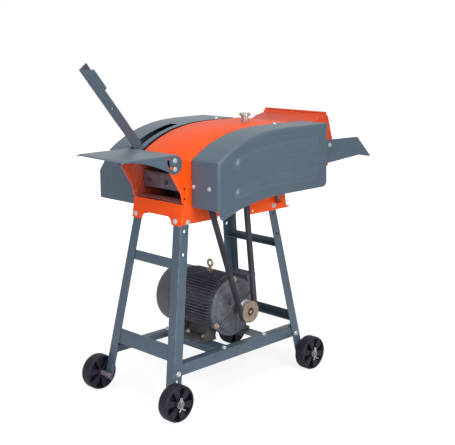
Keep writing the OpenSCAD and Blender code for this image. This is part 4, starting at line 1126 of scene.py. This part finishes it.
def turned_face(name, dark, light, bright, centre, face_y):
    """Machined metal: fine rings about the shaft, tan on the face, bright behind it."""
    made, shader, at = new_finish(name)
    away = at.vectors("SUBTRACT", at, (centre.x, 0, centre.z))
    length = at.vectors("LENGTH", at.vectors("MULTIPLY", away, (1, 0, 1)), out="Value")
    rings = at.node("ShaderNodeMath", {"operation": "SINE"}, {0: length * 2600})
    cloud = at.noise(70.0, 5.0, 0.6)
    across = at.node("ShaderNodeSeparateXYZ", None, {0: at}, out="Y")
    behind = ((across - face_y) * 200).between(0.5, 0.7)
    tan = (cloud.between(0.32, 0.7) * 0.8 + rings * 0.1 + 0.1).colours(dark, light)
    behind.colours(tan, bright).feeds(shader, "Base Color")
    (cloud * 0.2 + 0.3).feeds(shader, "Roughness")
    (0.6 - cloud * 0.3 + behind * 0.3).feeds(shader, "Metallic")
    rings.raises(shader, 0.2, 0.2 * mm)
    return made


low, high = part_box("motor_pulley")
outer_r = (high.z - low.z) / 2
bore = 12 * mm
outside, belt_y, inside = low.y, (low.y + high.y) / 2, high.y
pulley_metal = turned_face("turned_tan_steel", tone(122, 106, 92), tone(176, 158, 138), tone(222, 222, 220),
                           motor, outside)
groove_r, groove_top, groove_foot = outer_r - 12.5 * mm, 8.5 * mm, 5.7 * mm
rim = [(bore, outside + 1 * mm), (bore + 1.5 * mm, outside), (outer_r, outside),
       (outer_r, belt_y - groove_top), (groove_r, belt_y - groove_foot), (groove_r, belt_y + groove_foot),
       (outer_r, belt_y + groove_top), (outer_r, inside), (bore, inside)]
bm = bmesh.new()
turned(bm, soft_corners(rim, 0.7 * mm, 2), motor.x, motor.z, n=96)
add_piece("motor_pulley_turned", close_up("motor_pulley", bm), pulley_metal, "motor_rotor",
          "motor_pulley")
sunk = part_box("motor_shaft")[0].y
bm = bmesh.new()
disc = soft_corners(oblong(0, 11.4 * mm, sunk, sunk - 1 * mm), 0.4 * mm, 2, closed=False)
turned(bm, disc, motor.x, motor.z, closed=False, n=48)
add_piece("motor_pulley_washer", close_up("pulley_washer", bm), drum_iron, "motor_rotor",
          "motor_pulley")
bm = bmesh.new()
rod(bm, 6, 5 * mm, 3 * mm, Matrix.Translation((motor.x, sunk - 2.2 * mm, motor.z)) @ lying)
round_over(bm, 0.4 * mm)
add_piece("motor_pulley_screw", close_up("pulley_screw", bm), tan_bolt, "motor_rotor",
          "motor_pulley")

# Drive belt: a wrapped rubber vee belt from the motor up to the drum's pulley.
# Black cloth covered rubber, greyed by dust in patches, with the weave just showing.


def belt_rubber():
    """Cloth covered rubber: a slanting weave, and dust that lightens it in patches."""
    made, shader, at = new_finish("belt_rubber")
    weave = at.node("ShaderNodeTexWave", {"bands_direction": "DIAGONAL"}, {"Vector": at, "Scale": 260.0})
    dust = at.noise(20.0, 5.0, 0.65)
    dust.between(0.4, 0.75).colours(tone(38, 36, 46), tone(62, 60, 72)).feeds(shader, "Base Color")
    (dust * 0.2 + 0.55).feeds(shader, "Roughness")
    weave.raises(shader, 0.2, 0.3 * mm)
    return made


dress("drive_belt", belt_rubber(), 0.5 * mm)

# Bolts: zinc plated hexagon heads on washers, through the frame, the covers and the flap's ears.
# Each head is stamped with a small round chamfer, and every one stops at its own angle.


def scatter_bolts():
    """Node tree: a bolt on every point, turned and sized by the point's own values."""
    ports = {"Places": "Geometry", "Bolt": "Object", "Finish": "Material"}
    tree, (places, bolt, finish) = new_tree("scatter_bolts", ports)
    head = places.node("GeometryNodeObjectInfo", None, {"Object": bolt}, out="Geometry")
    turn, size = (places.node("GeometryNodeInputNamedAttribute", {"data_type": kind}, {"Name": name},
                              out="Attribute")
                  for name, kind in (("turn", "FLOAT_VECTOR"), ("size", "FLOAT")))
    rotation = places.node("FunctionNodeEulerToRotation", None, {0: turn})
    sockets = {"Points": places, "Instance": head, "Rotation": rotation, "Scale": size}
    copies = places.node("GeometryNodeInstanceOnPoints", None, sockets)
    real = places.node("GeometryNodeRealizeInstances", None, {0: copies})
    painted = places.node("GeometryNodeSetMaterial", None, {"Geometry": real, "Material": finish})
    painted.feeds(tree.nodes.new("NodeGroupOutput"), 0)
    return tree


def ring_stack(bm, rings):
    """Closed skin through rings of (sides, radius, height) about Z; no sides means round."""
    count = 48
    outlines = []
    for sides, radius, height in rings:
        outline = []
        for k in range(count):
            a = 2 * math.pi * k / count
            reach = radius
            if sides:
                part = (a + math.pi / sides) % (2 * math.pi / sides) - math.pi / sides
                reach = radius * math.cos(math.pi / sides) / math.cos(part)
            outline.append((*polar((0, 0), reach, a), height))
        outlines.append(outline)
    loft(bm, outlines)


bolt_tree = scatter_bolts()
head = bmesh.new()
ring_stack(head, [(0, 0.62, -0.55), (0, 0.62, 0.0), (0, 1.32, 0.0), (0, 1.36, 0.04), (0, 1.36, 0.2),
                  (0, 1.32, 0.24), (6, 1.0, 0.24), (6, 1.0, 0.76), (0, 0.84, 0.9), (0, 0.74, 0.92),
                  (0, 0.7, 0.88)])
bolt_head = in_scene("bolt_head", close_up("bolt_head", head, 28))


def bolts(node, finish, seats):
    """Bolts on seats of (place, outward, radius), standing for the node."""
    points = bpy.data.meshes.new(node + "_seats")
    points.from_pydata([Vector(place) * mm for place, out, radius in seats], [], [])
    points.attributes.new("turn", "FLOAT_VECTOR", "POINT")
    points.attributes.new("size", "FLOAT", "POINT")
    turn = points.attributes["turn"]
    size = points.attributes["size"]
    first_turn, turn_step = 0.7, 1.9
    for k, (place, out, radius) in enumerate(seats):
        aim = Vector((0, 0, 1)).rotation_difference(Vector(out))
        own = Matrix.Rotation(first_turn + turn_step * k, 3, "Z").to_quaternion()
        turn.data[k].vector = (aim @ own).to_euler()
        size.data[k].value = radius * mm
    mesh = grown(node, points, bolt_tree, {"Bolt": bolt_head, "Finish": finish})
    add_piece(node + "_heads", mesh, finish, frame["nodes"][node]["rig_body"], node)


leg_x, leg_y, leg_z = 188, 97.2, 500
splay_x, splay_y = 0.174, 0.104


def leg_at(height):
    """The legs' outer corner at a height, along X and Y, in millimetres."""
    return leg_x + (leg_z - height) * splay_x, leg_y + (leg_z - height) * splay_y


bolt_zinc = bright_steel("bolt_zinc", tone(196, 198, 202), tone(244, 245, 246),
                         tone(150, 128, 100), 0.4, 0.24)
plate_y, ear_z, ear_x = 101, 509, (-165, 174)
bar_z, rail_z, foot_top, inset = 112, 133.6, 139.6, 16
out_x, out_y = leg_at(bar_z)
rail_y = leg_at(rail_z)[1] - inset
frame_seats = []
for side in (-1, 1):
    frame_seats += [((x, side * plate_y, ear_z), (0, side, 0), 5.5) for x in ear_x]
    frame_seats += [((end * (out_x - inset), side * out_y, bar_z), (0, side, -splay_y), 6)
                    for end in (-1, 1)]
    frame_seats += [((x, side * rail_y, rail_z), (0, 0, 1), 6) for x in (-49, 115)]
frame_seats += [((-188.5, y, 511.5), (-1, 0, splay_x), 5.5) for y in (-77, 86)]
frame_seats += [((along(side, foot_hole_x) / mm, y, foot_top), (0, 0, 1), 6.5)
                for side in (-1, 1) for y in foot_hole_y]
bolts("frame_bolts", bolt_zinc, frame_seats)
cover_seats = [((left / mm, y, 604), (-1, 0, 0), 4.5) for y in (-110, -169)]
cover_seats += [((164, y, 747.5), (0, 0, 1), 4.6) for y in (-112, 125)]
cover_seats += [((402, side * 123.1, 667), (0, side, 0), 4.5) for side in (-1, 1)]
bolts("cover_bolts", bolt_zinc, cover_seats)
cheek_y = 103.6
flap_seats = [((hinge.x / mm, side * cheek_y, z / mm), (0, side, 0), radius)
              for side in (-1, 1) for z, radius in ((hinge.z, 5), (hinge.z - slot_r, 4.8))]
bolts("flap_bolts", bolt_zinc, flap_seats)
bpy.data.objects.remove(bolt_head)

# Top bolt: a tall hexagon spacer with a round flat head, on the top sheet over the rollers.
# Turned from hexagon bar; its steel has gone dull and cloudy.
low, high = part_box("top_bolt")
foot = Vector(((low.x + high.x) / 2, (low.y + high.y) / 2, low.z))
tall = high.z - low.z
stud = bmesh.new()
rings = [(6, 10.4 * mm, 0.2 * mm), (6, 10.8 * mm, 0.9 * mm), (6, 10.8 * mm, tall - 10.6 * mm),
         (0, 9 * mm, tall - 10 * mm), (0, 15.2 * mm, tall - 9.6 * mm), (0, 16 * mm, tall - 8.8 * mm),
         (0, 16 * mm, tall - 2 * mm), (0, 15.2 * mm, tall - 1.2 * mm), (0, 12.6 * mm, tall - 1 * mm),
         (0, 0.6 * mm, tall)]
ring_stack(stud, rings)
bmesh.ops.translate(stud, verts=stud.verts[:], vec=foot)
dull_steel = bright_steel("dull_steel", tone(138, 142, 142), tone(200, 206, 204),
                          tone(96, 92, 84), 0.4, 0.26)
add_piece("top_bolt_stud", close_up("top_bolt_stud", stud, 28), dull_steel, "frame", "top_bolt")

# Studio: a pale floor that keeps a soft shadow, a white surround, three soft lamps and the camera.
# The camera stands where the photograph was taken from, a little above the machine's discharge corner.
floor = bpy.data.meshes.new("studio_floor")
floor_half = 6
floor.from_pydata([(x, y, 0) for x, y in oblong(-floor_half, floor_half, -floor_half, floor_half)], [],
                  [(0, 1, 2, 3)])
ground = in_scene("studio_floor", floor)
paper, matt, at = new_finish("studio_paper", Base_Color=(0.8, 0.8, 0.8, 1), Roughness=0.9,
                             Specular_IOR_Level=0.1)
white = (1, 1, 1, 1)
lit = at.node("ShaderNodeEmission", None, {"Color": white, "Strength": 1.35})
away = at.vectors("LENGTH", at, out="Value")
fade = (away * 0.4).between(0.3, 0.8) * 0.4 + 0.6
share = at.node("ShaderNodeLightPath", out="Is Camera Ray") * fade
blend = at.node("ShaderNodeMixShader", None, {"Fac": share, 1: Shade(at.tree, matt.outputs[0]), 2: lit})
blend.feeds(at.tree.nodes["Material Output"], "Surface")
floor.materials.append(paper)

world = bpy.data.worlds.new("studio_white")
bpy.context.scene.world = world
world.use_nodes = True
tree = world.node_tree
ray = Shade(tree, tree.nodes.new("ShaderNodeTexCoord").outputs["Generated"])
dim = tree.nodes["Background"]
dim.inputs["Color"].default_value = white
dim.inputs["Strength"].default_value = 0.34
bright = ray.node("ShaderNodeBackground", None, {"Color": white})
seen = tree.nodes.new("ShaderNodeLightPath").outputs
direct, through, glossy = (Shade(tree, seen[f"Is {kind} Ray"])
                           for kind in ("Camera", "Transmission", "Glossy"))
behind = ray.vectors("DOT_PRODUCT", ray, (0.7, 0.7, 0.0), out="Value")
sheen = glossy * behind.between(0.1, 0.7) * 0.6
share = ray.sum("MAXIMUM", ray.sum("MAXIMUM", direct, through), sheen)
pick = ray.node("ShaderNodeMixShader", None, {"Fac": share, 1: Shade(tree, dim.outputs[0]), 2: bright})
pick.feeds(tree.nodes["World Output"], "Surface")


def soft_lamp(name, place, aim, size, power, green=1.0):
    """A square soft box pointed at a spot."""
    lamp = bpy.data.lights.new(name, "AREA")
    lamp.size = size
    lamp.energy = power
    lamp.color = (1, green, 1)
    stand = in_scene(name, lamp)
    stand.location = place
    stand.rotation_euler = (Vector(aim) - Vector(place)).to_track_quat("-Z", "Y").to_euler()


soft_lamp("overhead", (-0.5, -0.5, 3.0), (0, 0, 0.5), 2.6, 44, 0.96)
soft_lamp("front", (-0.5, -3.1, 1.5), (0, 0, 0.45), 1.8, 62)
soft_lamp("discharge_side", (-3.0, -0.6, 1.5), (0, 0, 0.5), 1.6, 34, 0.92)

camera = bpy.data.cameras.new("camera")
camera.sensor_width = 36
camera.sensor_fit = "HORIZONTAL"
camera.lens = 72.52
tripod = in_scene("camera", camera)
around, above, tilt = math.radians(-45.21), math.radians(11.82), math.radians(-0.11)
back = Vector((math.sin(around) * math.cos(above), -math.cos(around) * math.cos(above), math.sin(above)))
right = Vector((math.cos(around), math.sin(around), 0))
up = back.cross(right)
level = right * math.cos(tilt) + up * math.sin(tilt)
upright = up * math.cos(tilt) - right * math.sin(tilt)
pose = Matrix((level, upright, back)).transposed().to_4x4()
pose.translation = Vector((-1.7819, -1.8540, 1.0070))
tripod.matrix_world = pose
bpy.context.scene.camera = tripod
bpy.context.scene.view_settings.view_transform = "Standard"
